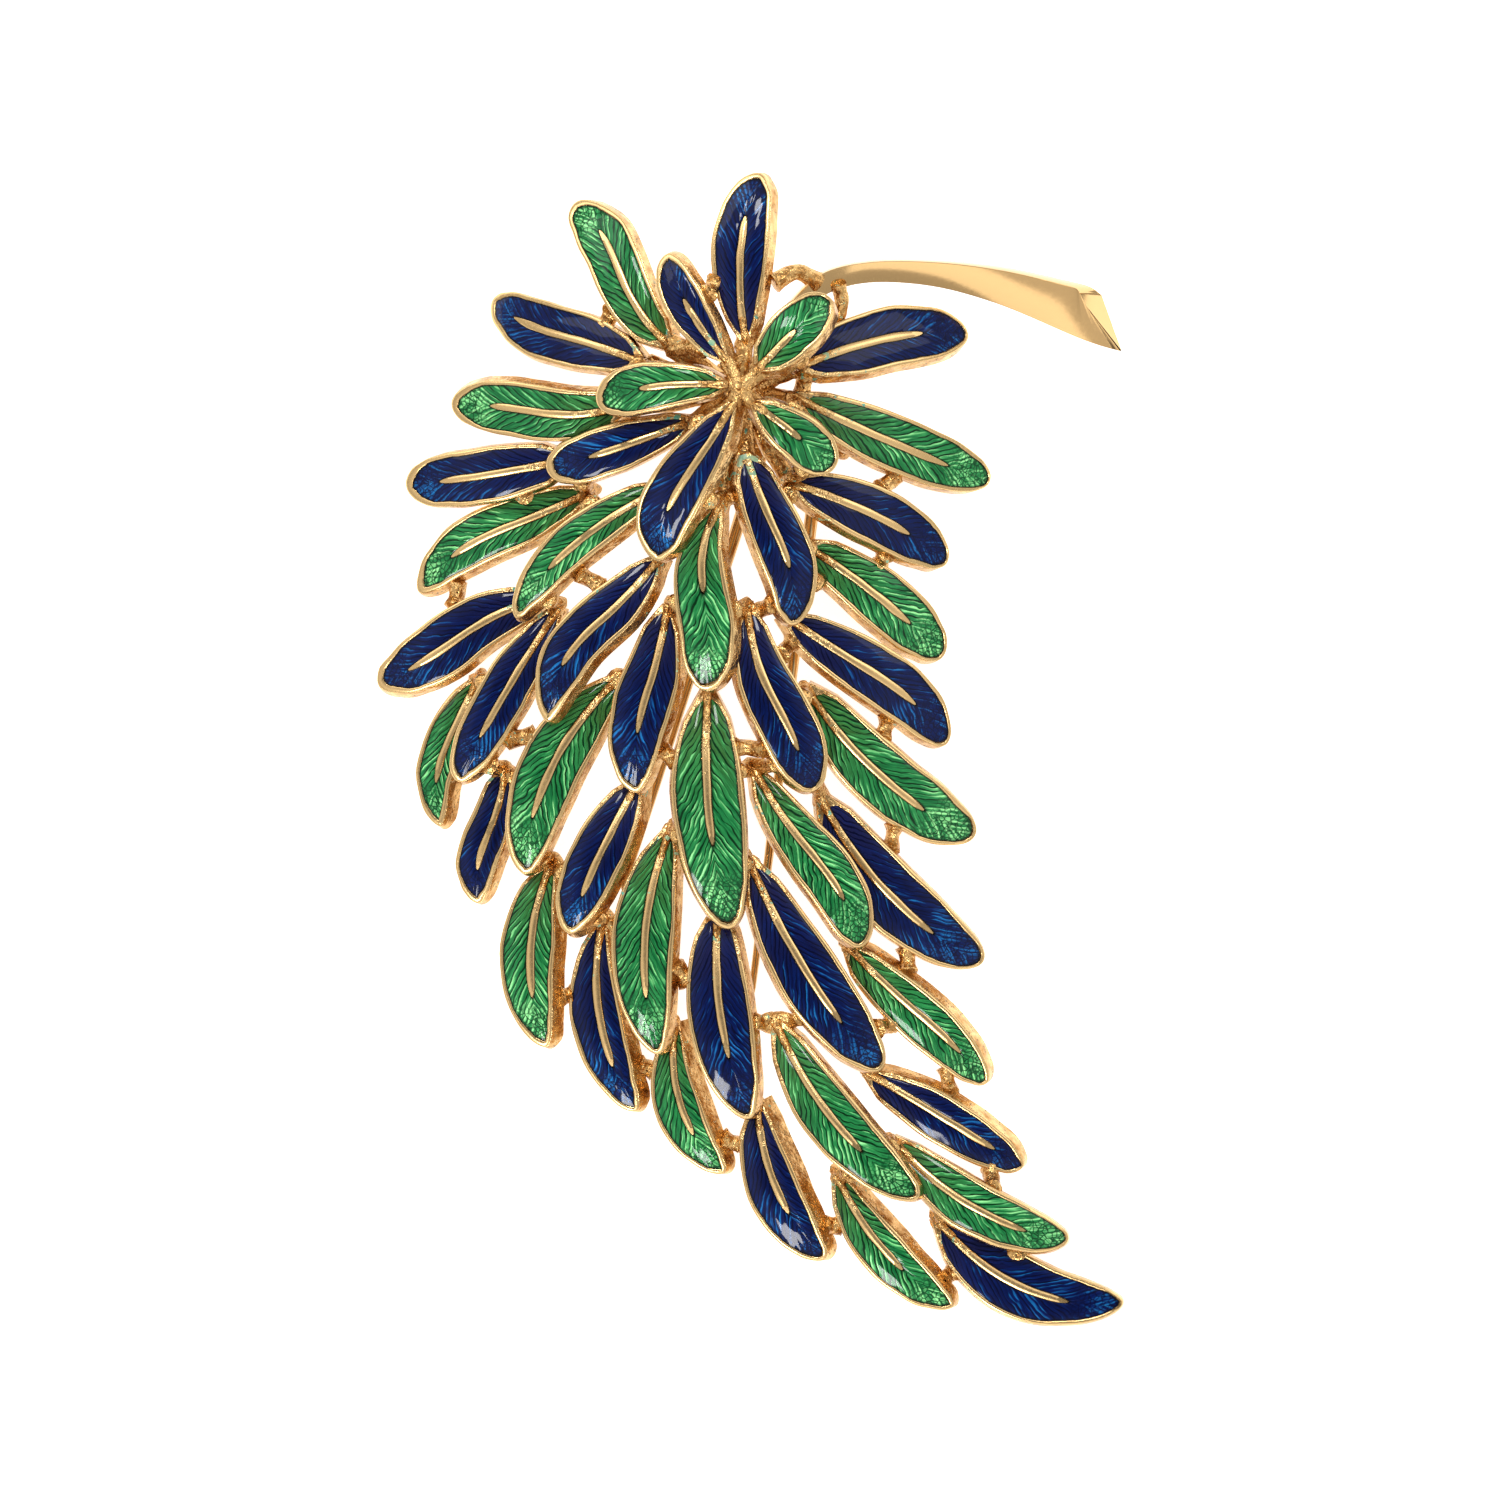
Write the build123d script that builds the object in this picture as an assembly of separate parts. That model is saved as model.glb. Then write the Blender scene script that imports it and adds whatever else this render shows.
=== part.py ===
from build123d import *
from collections import namedtuple
from math import cos, pi, sin, sqrt
import os

os.makedirs("parts", exist_ok=True)

# The spray lies on its back, face up. Sizes in mm.
spray_width = 48.5       # x: from the outermost left leaf tip to the end of the stem
spray_length = 75.0      # y: from the lowest leaf to the top leaf tip
crown_height = 10.0      # z: of the leaf bases in the rosette, above the plane of the lowest tips
leaf_width = 4.0         # of a leaf with a width share of 1
leaf_arch = 1.0          # rise of a leaf's back between its ends, for an arch share of 1
leaf_depth = 1.0         # from a leaf's rim to its underside
floor_thickness = 0.4    # of the cup under the enamel
rim = 0.42               # wall round the enamel
neck = 0.9               # solid metal at a leaf's base
vein_root = 0.62         # width of the raised vein where it leaves the neck
vein_end = 0.22          # its width at the far end
edge_points = 7          # on each side of a leaf's outline
crowding = 1.6           # the larger, the closer they stand near the tip
enamel_gap = 0.03        # between enamel and metal
enamel_sink = 0.06       # of the enamel's face below the rim
rod_radius = 0.42        # of the soldered links
rod_depth = 0.6          # share of leaf_depth at which a rod ends inside a wall or a neck
wall_zone = 0.7          # share of the half width beyond which a rod ends inside the wall
twig_radius = 0.48       # of the wires that carry the leaf bases
twig_hold = 0.03         # share of a leaf's length at which its wire ends
post_radius = 0.84       # between the hub and the knob
knob_radius = 1.1        # at the middle of the rosette
hub_radius = 1.4
hub_thickness = 0.9
stem_end_width = 4.0
stem_depth = 1.9         # at its end
stem_ridge = 0.7         # share of the half width at which the stem's ridge runs
stem_hold = 0.5          # how far into the stem, along x and z, the hub's wire reaches
bead_width = 1.3         # of a knob on a wire, as a share of the wire's
bead_height = 2.4        # of the same, as a share of the wire's radius
hinge_radius = 0.5       # of the clip's hinge pin
hinge_gap = 0.1          # round the pin in its knuckles
knuckle_radius = 1.1
knuckle_width = 0.8
prong_root = 0.5         # radius of a prong at the hinge
prong_point = 0.22       # and near its point

# base and tip: shares of spray_width, spray_length and crown_height, from the lower left corner
# width, bow and sway: shares of leaf_width. Bow is the sideways bend, to the left on the way to the
# tip. Sway bends the first half to the left and the second half to the right
# waist: width at the base as a share of the full width, reached at peak, a share of the length
# blunt: the larger, the blunter the tip. arch: share of leaf_arch. roll: degrees, left edge up
# vein: share of the leaf's length at which its vein ends
Leaf = namedtuple("Leaf", "colour base_x base_y tip_x tip_y base_z tip_z"
                          " width bow sway waist peak blunt arch roll vein")

leaves = [
    Leaf("blue", 0.495, 0.852, 0.510, 1.000, 0.89, 0.82, 0.98, 0.16, 0, 0.38, 0.55, 2.6, 0.9, -8, 0.73),
    Leaf("blue", 0.471, 0.836, 0.387, 0.929, 1.02, 0.92, 0.73, 0.10, 0, 0.40, 0.60, 2.6, 0.6, -8, 0.60),
    Leaf("green", 0.511, 0.830, 0.607, 0.892, 1.05, 0.97, 0.86, 0, 0, 0.55, 0.48, 2.6, 0.6, -6, 0.50),
    Leaf("green", 0.471, 0.816, 0.294, 0.804, 1.02, 0.86, 0.81, -0.10, 0, 0.40, 0.65, 2.6, 0.8, 0, 0.64),
    Leaf("green", 0.505, 0.800, 0.613, 0.744, 1.02, 0.90, 0.78, 0.03, 0, 0.45, 0.60, 2.6, 0.6, 0, 0.54),
    Leaf("blue", 0.478, 0.800, 0.372, 0.665, 1.02, 0.83, 1.01, -0.13, 0.05, 0.40, 0.60, 2.6, 0.9, 5, 0.70),
    Leaf("green", 0.392, 0.851, 0.266, 0.976, 0.74, 0.40, 0.92, 0, 0.09, 0.62, 0.60, 2.6, 0.9, -6, 0.76),
    Leaf("blue", 0.356, 0.836, 0.153, 0.891, 0.70, 0.11, 0.95, 0.10, -0.05, 0.50, 0.50, 2.6, 0.9, 0, 0.80),
    Leaf("blue", 0.565, 0.832, 0.793, 0.863, 0.74, 0.26, 1.03, 0.15, 0, 0.50, 0.45, 3.0, 0.9, -5, 0.71),
    Leaf("green", 0.333, 0.798, 0.099, 0.801, 0.63, 0.30, 0.95, 0.09, 0.06, 0.60, 0.50, 3.0, 0.9, -5, 0.75),
    Leaf("green", 0.561, 0.806, 0.823, 0.734, 0.72, 0.11, 0.94, -0.07, 0, 0.45, 0.50, 3.0, 1.0, -4, 0.76),
    Leaf("blue", 0.256, 0.752, 0.038, 0.730, 0.49, 0.22, 0.91, 0.03, 0, 0.60, 0.50, 3.4, 0.8, 0, 0.77),
    Leaf("blue", 0.423, 0.786, 0.228, 0.743, 0.72, 0.62, 0.80, 0.03, 0, 0.40, 0.62, 2.6, 0.8, 0, 0.70),
    Leaf("green", 0.289, 0.725, 0.054, 0.639, 0.35, 0.12, 0.93, -0.19, 0.06, 0.45, 0.50, 2.4, 0.7, 4, 0.76),
    Leaf("green", 0.393, 0.730, 0.185, 0.616, 0.66, 0.54, 0.81, -0.25, 0.02, 0.55, 0.50, 2.4, 0.9, 5, 0.71),
    Leaf("blue", 0.494, 0.757, 0.560, 0.609, 0.76, 0.66, 0.94, 0.12, -0.06, 0.58, 0.52, 2.6, 0.9, -6, 0.67),
    Leaf("blue", 0.552, 0.732, 0.766, 0.664, 0.64, 0.24, 0.96, 0.13, 0, 0.45, 0.50, 2.8, 0.9, -5, 0.71),
    Leaf("green", 0.572, 0.679, 0.760, 0.582, 0.38, 0.14, 0.98, 0.08, 0, 0.50, 0.55, 2.8, 0.9, -5, 0.72),
    Leaf("green", 0.463, 0.718, 0.442, 0.552, 0.75, 0.70, 0.99, -0.16, -0.11, 0.32, 0.60, 2.8, 0.9, 4, 0.48),
    Leaf("blue", 0.226, 0.633, 0.001, 0.557, 0.26, 0.11, 1.03, -0.07, -0.06, 0.50, 0.55, 2.2, 0.7, 3, 0.81),
    Leaf("blue", 0.246, 0.626, 0.107, 0.474, 0.39, 0.34, 0.86, -0.04, 0, 0.45, 0.50, 3.0, 0.9, 3, 0.75),
    Leaf("blue", 0.383, 0.669, 0.227, 0.526, 0.63, 0.57, 0.94, -0.24, 0.10, 0.45, 0.47, 2.6, 0.9, 5, 0.72),
    Leaf("blue", 0.391, 0.627, 0.345, 0.464, 0.54, 0.49, 1.03, -0.08, 0.05, 0.40, 0.50, 2.3, 0.8, 4, 0.68),
    Leaf("green", 0.138, 0.566, 0.082, 0.435, 0.14, 0.11, 0.80, -0.22, 0.05, 0.45, 0.45, 2.4, 0.4, 8, 0.73),
    Leaf("blue", 0.497, 0.626, 0.585, 0.465, 0.56, 0.52, 1.01, -0.12, -0.07, 0.38, 0.60, 2.6, 0.9, -4, 0.77),
    Leaf("blue", 0.544, 0.618, 0.766, 0.507, 0.46, 0.16, 0.99, 0.14, -0.05, 0.40, 0.50, 2.8, 0.9, -5, 0.75),
    Leaf("green", 0.576, 0.554, 0.800, 0.424, 0.36, 0.12, 1.05, -0.25, 0, 0.50, 0.55, 2.6, 0.7, 0, 0.74),
    Leaf("green", 0.329, 0.566, 0.195, 0.394, 0.38, 0.30, 1.08, -0.34, 0, 0.45, 0.50, 2.4, 0.9, 3, 0.75),
    Leaf("blue", 0.172, 0.485, 0.133, 0.368, 0.18, 0.11, 0.80, -0.05, 0.06, 0.50, 0.50, 2.6, 0.4, 5, 0.75),
    Leaf("green", 0.444, 0.554, 0.472, 0.346, 0.50, 0.47, 1.17, -0.16, 0, 0.40, 0.45, 2.2, 1.2, 0, 0.64),
    Leaf("green", 0.503, 0.487, 0.652, 0.331, 0.36, 0.38, 0.93, 0.07, -0.07, 0.32, 0.60, 2.8, 0.9, -3, 0.76),
    Leaf("blue", 0.595, 0.459, 0.811, 0.315, 0.32, 0.11, 1.08, -0.29, 0, 0.45, 0.50, 2.4, 0.5, 0, 0.75),
    Leaf("blue", 0.353, 0.476, 0.256, 0.342, 0.35, 0.33, 0.98, -0.05, 0, 0.45, 0.50, 2.6, 0.8, 6, 0.76),
    Leaf("green", 0.235, 0.405, 0.224, 0.243, 0.16, 0.11, 1.04, -0.28, 0, 0.45, 0.50, 2.2, 0.5, 8, 0.73),
    Leaf("green", 0.396, 0.436, 0.376, 0.237, 0.32, 0.28, 1.09, -0.31, 0, 0.40, 0.50, 2.0, 1.0, 4, 0.75),
    Leaf("blue", 0.303, 0.357, 0.346, 0.187, 0.16, 0.11, 0.99, -0.31, 0, 0.34, 0.50, 2.2, 0.5, 8, 0.75),
    Leaf("blue", 0.458, 0.366, 0.498, 0.181, 0.30, 0.28, 1.09, -0.20, 0, 0.45, 0.48, 2.2, 1.0, 3, 0.70),
    Leaf("blue", 0.498, 0.407, 0.675, 0.223, 0.32, 0.28, 1.08, -0.18, 0, 0.35, 0.55, 2.0, 1.0, -2, 0.75),
    Leaf("green", 0.628, 0.333, 0.819, 0.212, 0.20, 0.11, 0.89, 0.03, -0.03, 0.45, 0.50, 2.6, 0.6, 5, 0.79),
    Leaf("green", 0.400, 0.264, 0.464, 0.133, 0.14, 0.11, 0.91, -0.31, 0, 0.45, 0.50, 2.2, 0.5, 8, 0.70),
    Leaf("green", 0.534, 0.266, 0.725, 0.112, 0.26, 0.36, 0.97, -0.26, 0, 0.45, 0.50, 2.2, 0.9, 2, 0.68),
    Leaf("blue", 0.655, 0.222, 0.867, 0.139, 0.14, 0.11, 0.87, 0.02, 0, 0.45, 0.50, 2.6, 0.6, 5, 0.81),
    Leaf("blue", 0.510, 0.195, 0.599, 0.058, 0.14, 0.11, 1.01, -0.24, 0, 0.50, 0.50, 2.2, 0.6, 8, 0.66),
    Leaf("green", 0.615, 0.134, 0.772, 0.017, 0.13, 0.11, 0.87, -0.22, 0, 0.50, 0.50, 2.2, 0.5, 6, 0.65),
    Leaf("green", 0.691, 0.163, 0.926, 0.074, 0.16, 0.19, 0.86, -0.28, 0, 0.45, 0.50, 2.6, 1.1, 0, 0.79),
    Leaf("blue", 0.749, 0.096, 1.000, 0.019, 0.11, 0.11, 1.04, -0.44, 0, 0.50, 0.42, 2.0, 0.2, 0, 0.75),
]

# The soldered links. Each end is a leaf's number, a share of its length and a share of its half
# width, from -1 at the right edge on the way to the tip to 1 at the left
Link = namedtuple("Link", "leaf_a along_a across_a leaf_b along_b across_b")

links = [
    Link(1, 0.35, 0.9, 2, 0.55, -0.9),
    Link(7, 0.03, 0, 2, 0.20, 0.7),
    Link(8, 0.04, 0, 4, 0.65, -0.8),
    Link(8, 0.30, -0.9, 7, 0.35, 0.9),
    Link(9, 0.03, 0, 3, 0.36, -0.8),
    Link(9, 0.05, -0.5, 11, 0.04, 0.5),
    Link(10, 0.04, 0, 4, 0.80, 0.5),
    Link(11, 0.03, 0, 5, 0.35, 0.8),
    Link(12, 0.03, 0, 13, 0.88, 0),
    Link(12, 0.30, 0.9, 14, 0.30, -0.9),
    Link(13, 0.04, 0, 6, 0.20, -0.8),
    Link(14, 0.04, 0, 13, 0.80, 0.85),
    Link(14, 0.06, 0.5, 15, 0.36, -0.9),
    Link(14, 0.80, 0.9, 20, 0.45, -0.9),
    Link(15, 0.04, 0, 6, 0.60, -0.45),
    Link(15, 0.62, 0.9, 22, 0.30, -0.9),
    Link(17, 0.03, 0, 5, 0.75, -0.8),
    Link(17, 0.06, -0.5, 16, 0.30, 0.9),
    Link(17, 0.48, 0.9, 11, 0.57, -0.9),
    Link(18, 0.03, 0, 16, 0.61, 0.85),
    Link(18, 0.20, -0.9, 16, 0.80, 0.9),
    Link(18, 0.40, 0.9, 17, 0.66, -0.9),
    Link(19, 0.03, 0, 6, 0.55, 0.9),
    Link(19, 0.03, 0, 16, 0.20, -0.9),
    Link(20, 0.03, 0, 15, 0.85, 0.3),
    Link(21, 0.03, 0, 15, 0.82, 0.8),
    Link(21, 0.70, 0.9, 28, 0.42, -0.9),
    Link(22, 0.03, 0, 6, 0.92, 0),
    Link(23, 0.04, 0.3, 19, 0.55, -0.85),
    Link(23, 0.75, 0.9, 30, 0.30, -0.9),
    Link(24, 0.04, 0, 21, 0.52, -0.85),
    Link(25, 0.03, 0, 19, 0.57, 0.85),
    Link(25, 0.05, 0.5, 16, 0.85, -0.85),
    Link(26, 0.03, 0, 16, 0.92, 0),
    Link(26, 0.12, -0.9, 25, 0.30, 0.9),
    Link(26, 0.70, -0.9, 27, 0.40, 0.9),
    Link(27, 0.03, 0, 25, 0.53, 0.85),
    Link(28, 0.03, 0, 23, 0.44, -0.85),
    Link(29, 0.04, 0, 28, 0.63, -0.85),
    Link(29, 0.05, -0.3, 21, 0.85, 0.8),
    Link(30, 0.02, 0, 19, 0.92, 0),
    Link(30, 0.25, 0.9, 25, 0.72, -0.9),
    Link(31, 0.03, 0, 25, 0.80, -0.85),
    Link(31, 0.03, 0, 30, 0.35, 0.85),
    Link(32, 0.03, 0, 25, 0.92, 0.3),
    Link(32, 0.38, 0.9, 27, 0.70, -0.9),
    Link(33, 0.03, 0, 23, 0.92, 0),
    Link(34, 0.04, 0, 33, 0.68, -0.85),
    Link(34, 0.04, 0, 28, 0.90, 0.7),
    Link(34, 0.73, 0.9, 36, 0.37, -0.9),
    Link(35, 0.03, 0, 30, 0.60, -0.85),
    Link(35, 0.60, 0.9, 37, 0.35, -0.9),
    Link(36, 0.03, 0, 33, 0.85, 0.85),
    Link(36, 0.03, 0, 35, 0.45, -0.9),
    Link(36, 0.77, 0.9, 40, 0.25, -0.9),
    Link(37, 0.03, 0, 30, 0.92, 0),
    Link(38, 0.03, 0, 30, 0.73, 0.85),
    Link(38, 0.85, 0.9, 39, 0.45, -0.9),
    Link(39, 0.03, 0, 31, 0.94, -0.2),
    Link(39, 0.33, 0.9, 32, 0.72, -0.9),
    Link(39, 0.80, -0.9, 42, 0.45, 0.9),
    Link(40, 0.04, 0, 35, 0.86, 0.6),
    Link(40, 0.78, 0.9, 43, 0.20, -0.9),
    Link(41, 0.03, 0, 38, 0.65, -0.85),
    Link(41, 0.03, 0, 37, 0.55, 0.85),
    Link(42, 0.03, 0, 38, 0.94, 0),
    Link(42, 0.85, -0.9, 45, 0.55, 0.9),
    Link(43, 0.04, 0, 37, 0.95, 0),
    Link(43, 0.82, 0.9, 44, 0.25, -0.9),
    Link(44, 0.04, 0, 41, 0.72, -0.8),
    Link(44, 0.85, 0.9, 46, 0.20, -0.9),
    Link(45, 0.03, 0, 41, 0.75, 0.8),
    Link(45, 0.80, -0.9, 46, 0.45, 0.9),
    Link(46, 0.03, 0, 45, 0.41, -0.8),
]

# The stem's sections. Places as for the leaves. width: share of the width at its end. turn: degrees
Section = namedtuple("Section", "x y z width turn")

stem = [
    Section(0.550, 0.876, 0.70, 0.28, 45),
    Section(0.597, 0.904, 0.66, 0.38, 28),
    Section(0.659, 0.915, 0.59, 0.38, 5),
    Section(0.746, 0.914, 0.48, 0.45, -5),
    Section(0.834, 0.904, 0.35, 0.62, -13),
    Section(0.921, 0.887, 0.23, 0.82, -18),
    Section(0.987, 0.871, 0.14, 1.00, 20),
]

# Wires with a knob at each of their places, which are in shares
Wire = namedtuple("Wire", "radius places")

wires = [
    Wire(0.55, [(0.531, 0.904, 0.84), (0.562, 0.914, 0.79), (0.592, 0.905, 0.71)]),
    Wire(0.50, [(0.618, 0.905, 0.66), (0.626, 0.886, 0.64), (0.626, 0.866, 0.64)]),
]
carried = [1, 2, 3, 4, 5, 6]             # leaves on the knob
branched = [7, 8, 9, 10, 11, 13, 16, 17, 19]  # leaves on the hub

knob_place = (0.487, 0.813, 1.02)
hub_place = (0.485, 0.811, 0.55)
hinge_y = 0.767
hinge_z = 0.22
knuckle_x = (0.472, 0.625)
prong_roots_x = (0.519, 0.595)
prong_points = ((0.329, 0.379, 0.09), (0.501, 0.283, 0.09))


def spot(x, y, z):
    """A place given as shares of the spray's sizes."""
    return Vector(x * spray_width, y * spray_length, z * crown_height)


def rod(start, end, radius, end_radius=None):
    """A straight wire, tapered if it has another radius at its end."""
    axis = end - start
    plane = Plane(origin=start, z_dir=axis)
    if end_radius is None:
        return plane * Cylinder(radius, axis.length, align=(Align.CENTER, Align.CENTER, Align.MIN))
    return plane * Cone(radius, end_radius, axis.length, align=(Align.CENTER, Align.CENTER, Align.MIN))


class LeafShape:
    """The curves and the frame of one leaf: x to the tip, y to its left, z out of its face."""

    def __init__(self, leaf):
        self.leaf = leaf
        base = spot(leaf.base_x, leaf.base_y, leaf.base_z)
        chord = spot(leaf.tip_x, leaf.tip_y, leaf.tip_z) - base
        self.length = chord.length
        ahead = chord.normalized()
        left = Vector(0, 0, 1).cross(ahead).normalized()
        face = ahead.cross(left)
        turn = leaf.roll * pi / 180
        self.plane = Plane(origin=base, x_dir=ahead, z_dir=face * cos(turn) - left * sin(turn))
        self.half = leaf.width * leaf_width / 2
        self.bend = leaf.bow * leaf_width
        self.sway = leaf.sway * leaf_width
        self.rise = leaf.arch * leaf_arch

    def middle(self, share):
        """Sideways place of the centre line."""
        return self.bend * 4 * share * (1 - share) + self.sway * sin(2 * pi * share)

    def half_width(self, share):
        leaf = self.leaf
        if share < leaf.peak:
            return self.half * (leaf.waist + (1 - leaf.waist) * sin(share / leaf.peak * pi / 2))
        run = (share - leaf.peak) / (1 - leaf.peak)
        return self.half * sqrt(max(0.0, 1 - run ** leaf.blunt))

    def back(self, x, drop):
        """Height of the arc that follows the leaf's back, drop below the rim."""
        half = self.length / 2
        radius = (half ** 2 + self.rise ** 2) / (2 * self.rise)
        return self.rise - radius + sqrt((radius - drop) ** 2 - (x - half) ** 2)

    def edge(self, share, side, inset):
        """A point of the outline, moved in by inset. side is 1 on the left and -1 on the right."""
        step = 0.002
        low = max(0.0, share - step)
        high = min(1.0, share + step)
        along = (high - low) * self.length
        across = self.middle(high) - self.middle(low)
        across += side * (self.half_width(high) - self.half_width(low))
        size = sqrt(along ** 2 + across ** 2)
        x = share * self.length + side * across / size * inset
        y = self.middle(share) + side * self.half_width(share) - side * along / size * inset
        return (x, y)

    def outline(self, inset, start):
        """Points from the base along the right edge, round the tip and back on the left."""
        shares = [start + (1 - start) * (1 - (1 - k / edge_points) ** crowding) for k in range(edge_points)]
        right = [self.edge(share, -1, inset) for share in shares]
        left = [self.edge(share, 1, inset) for share in reversed(shares)]
        return right + [(self.length - inset, self.middle(1.0))] + left

    def vein(self, start, side, margin):
        """Points of one side of the vein, from start to its far end."""
        points = []
        for k in range(4):
            share = start + (self.leaf.vein - start) * k / 3
            radius = (vein_root + (vein_end - vein_root) * k / 3) / 2 + margin
            points.append((share * self.length, self.middle(share) + side * radius))
        return points

    def blank(self):
        """The leaf's outline as a face."""
        points = self.outline(0, 0)
        return make_face(Spline(points) + Line(points[-1], points[0]))

    def pocket(self, margin):
        """The enamel's outline, round the vein, smaller than the cup's by margin."""
        start = (neck + margin) / self.length
        edge = self.outline(rim + margin, start)
        left = self.vein(start, 1, margin)
        right = self.vein(start, -1, margin)
        end = ((left[-1][0] + vein_end / 2 + margin), (left[-1][1] + right[-1][1]) / 2)
        curves = Spline(edge)
        curves += Line(edge[-1], left[0])
        curves += Spline(left)
        curves += ThreePointArc(left[-1], end, right[-1])
        curves += Spline(list(reversed(right)))
        curves += Line(right[0], edge[0])
        return make_face(curves)

    def layer(self, top, bottom):
        """The space between two arcs that follow the leaf's back, top and bottom below the rim."""
        stations = [-leaf_depth, self.length / 2, self.length + leaf_depth]
        above = [(x, self.back(x, top)) for x in stations]
        below = [(x, self.back(x, bottom)) for x in stations]
        profile = ThreePointArc(*above) + Line(above[2], below[2])
        profile += ThreePointArc(*below) + Line(below[0], above[0])
        return extrude(Plane.XZ.offset(-leaf_width) * make_face(profile), amount=2 * leaf_width)

    def slice(self, face, top, bottom):
        """The part of a face's prism between two depths below the rim, in its place in the spray."""
        tall = self.rise + 2 * leaf_depth
        prism = extrude(Pos(0, 0, -tall) * face, amount=2 * tall)
        return self.plane * (prism & self.layer(top, bottom))

    def body(self):
        return self.slice(self.blank(), 0, leaf_depth)

    def cut(self):
        """What the enamel's pocket takes out of the metal."""
        return self.slice(self.pocket(0), -enamel_sink, leaf_depth - floor_thickness)

    def enamel(self):
        bottom = leaf_depth - floor_thickness - enamel_gap
        return self.slice(self.pocket(enamel_gap), enamel_sink, bottom)

    def hold(self, along, across):
        """Where a rod ends: in the wall near an edge, in the solid neck, or at the underside."""
        x = along * self.length
        inside = abs(across) > wall_zone or x < neck
        drop = rod_depth * leaf_depth if inside else leaf_depth
        y = self.middle(along) + across * self.half_width(along)
        return self.plane.from_local_coords(Vector(x, y, self.back(x, drop)))


def link_rod(link, shapes):
    start = shapes[link.leaf_a - 1].hold(link.along_a, link.across_a)
    end = shapes[link.leaf_b - 1].hold(link.along_b, link.across_b)
    return rod(start, end, rod_radius)


def wire_parts(wire):
    places = [spot(*place) for place in wire.places]
    parts = [rod(start, end, wire.radius) for start, end in zip(places, places[1:])]
    bead = Cylinder(wire.radius * bead_width, wire.radius * bead_height)
    return parts + [Pos(place) * bead for place in places]


def stem_part():
    sections = []
    for section in stem:
        half = section.width * stem_end_width / 2
        height = stem_depth * (1 + section.width) / 2
        ahead = Vector(1, 0, 0).rotate(Axis.Z, section.turn)
        left = Vector(0, 0, 1).cross(ahead)
        plane = Plane(origin=spot(section.x, section.y, section.z), x_dir=left, z_dir=ahead)
        corners = [(-half, 0), (half, 0), (half * stem_ridge, height)]
        sections.append(plane * make_face(Polyline(corners, close=True)))
    return loft(sections)


def crown_parts(shapes):
    """The knob, the hub under it, the post between them and the wires to the leaves round it."""
    knob = spot(*knob_place)
    hub = spot(*hub_place)
    parts = [Pos(knob) * Sphere(knob_radius), rod(hub, knob, post_radius)]
    parts.append(Pos(hub) * Cylinder(hub_radius, hub_thickness))
    for number in carried:
        parts.append(rod(knob, shapes[number - 1].hold(twig_hold, 0), twig_radius))
    for number in branched:
        parts.append(rod(hub, shapes[number - 1].hold(twig_hold, 0), twig_radius))
    stem_root = spot(stem[0].x, stem[0].y, stem[0].z) + Vector(stem_hold, 0, stem_hold)
    parts.append(rod(hub, stem_root, twig_radius))
    return parts


def knuckles():
    """The two eyes of the clip's hinge and the arms that hold them under the hub."""
    hub = spot(*hub_place)
    eyes = []
    hole = hinge_radius + hinge_gap
    for x in knuckle_x:
        centre = spot(x, hinge_y, hinge_z)
        eye = Cylinder(knuckle_radius, knuckle_width) - Cylinder(hole, knuckle_width)
        arm = rod(centre + Vector(0, 0, knuckle_radius), hub, twig_radius)
        eyes.append(Pos(centre) * Rot(0, 90, 0) * eye)
        eyes.append(arm)
    return eyes


def leaf_frame(shapes):
    bodies = [shape.body() for shape in shapes]
    rods = [link_rod(link, shapes) for link in links]
    rods += crown_parts(shapes) + knuckles() + [stem_part()]
    for wire in wires:
        rods += wire_parts(wire)
    whole = bodies[0].fuse(*bodies[1:], *rods)
    return whole.cut(*[shape.cut() for shape in shapes])


def clip_fork():
    """The hinge pin with its two prongs."""
    start = spot(knuckle_x[0], hinge_y, hinge_z) - Vector(knuckle_width, 0, 0)
    end = spot(knuckle_x[1], hinge_y, hinge_z) + Vector(knuckle_width, 0, 0)
    fork = rod(start, end, hinge_radius)
    for x, point in zip(prong_roots_x, prong_points):
        fork += rod(spot(x, hinge_y, hinge_z), spot(*point), prong_root, prong_point)
    return fork


shapes = [LeafShape(leaf) for leaf in leaves]
nodes = {"leaf_frame": leaf_frame(shapes), "clip_fork": clip_fork()}
for number, shape in enumerate(shapes, start=1):
    nodes[f"enamel_{shape.leaf.colour}_{number:02d}"] = shape.enamel()

# The origin is under the middle of the brooch, at the height of its lowest points
extent = Compound(list(nodes.values())).bounding_box()
middle = extent.center()
for name, shape in nodes.items():
    export_step(Pos(-middle.X, -middle.Y, -extent.min.Z) * shape, f"parts/{name}.step")
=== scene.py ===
from math import cos, pi, radians, sin, sqrt
from types import SimpleNamespace as Values

import bmesh
import bpy
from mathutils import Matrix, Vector, noise


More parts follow.
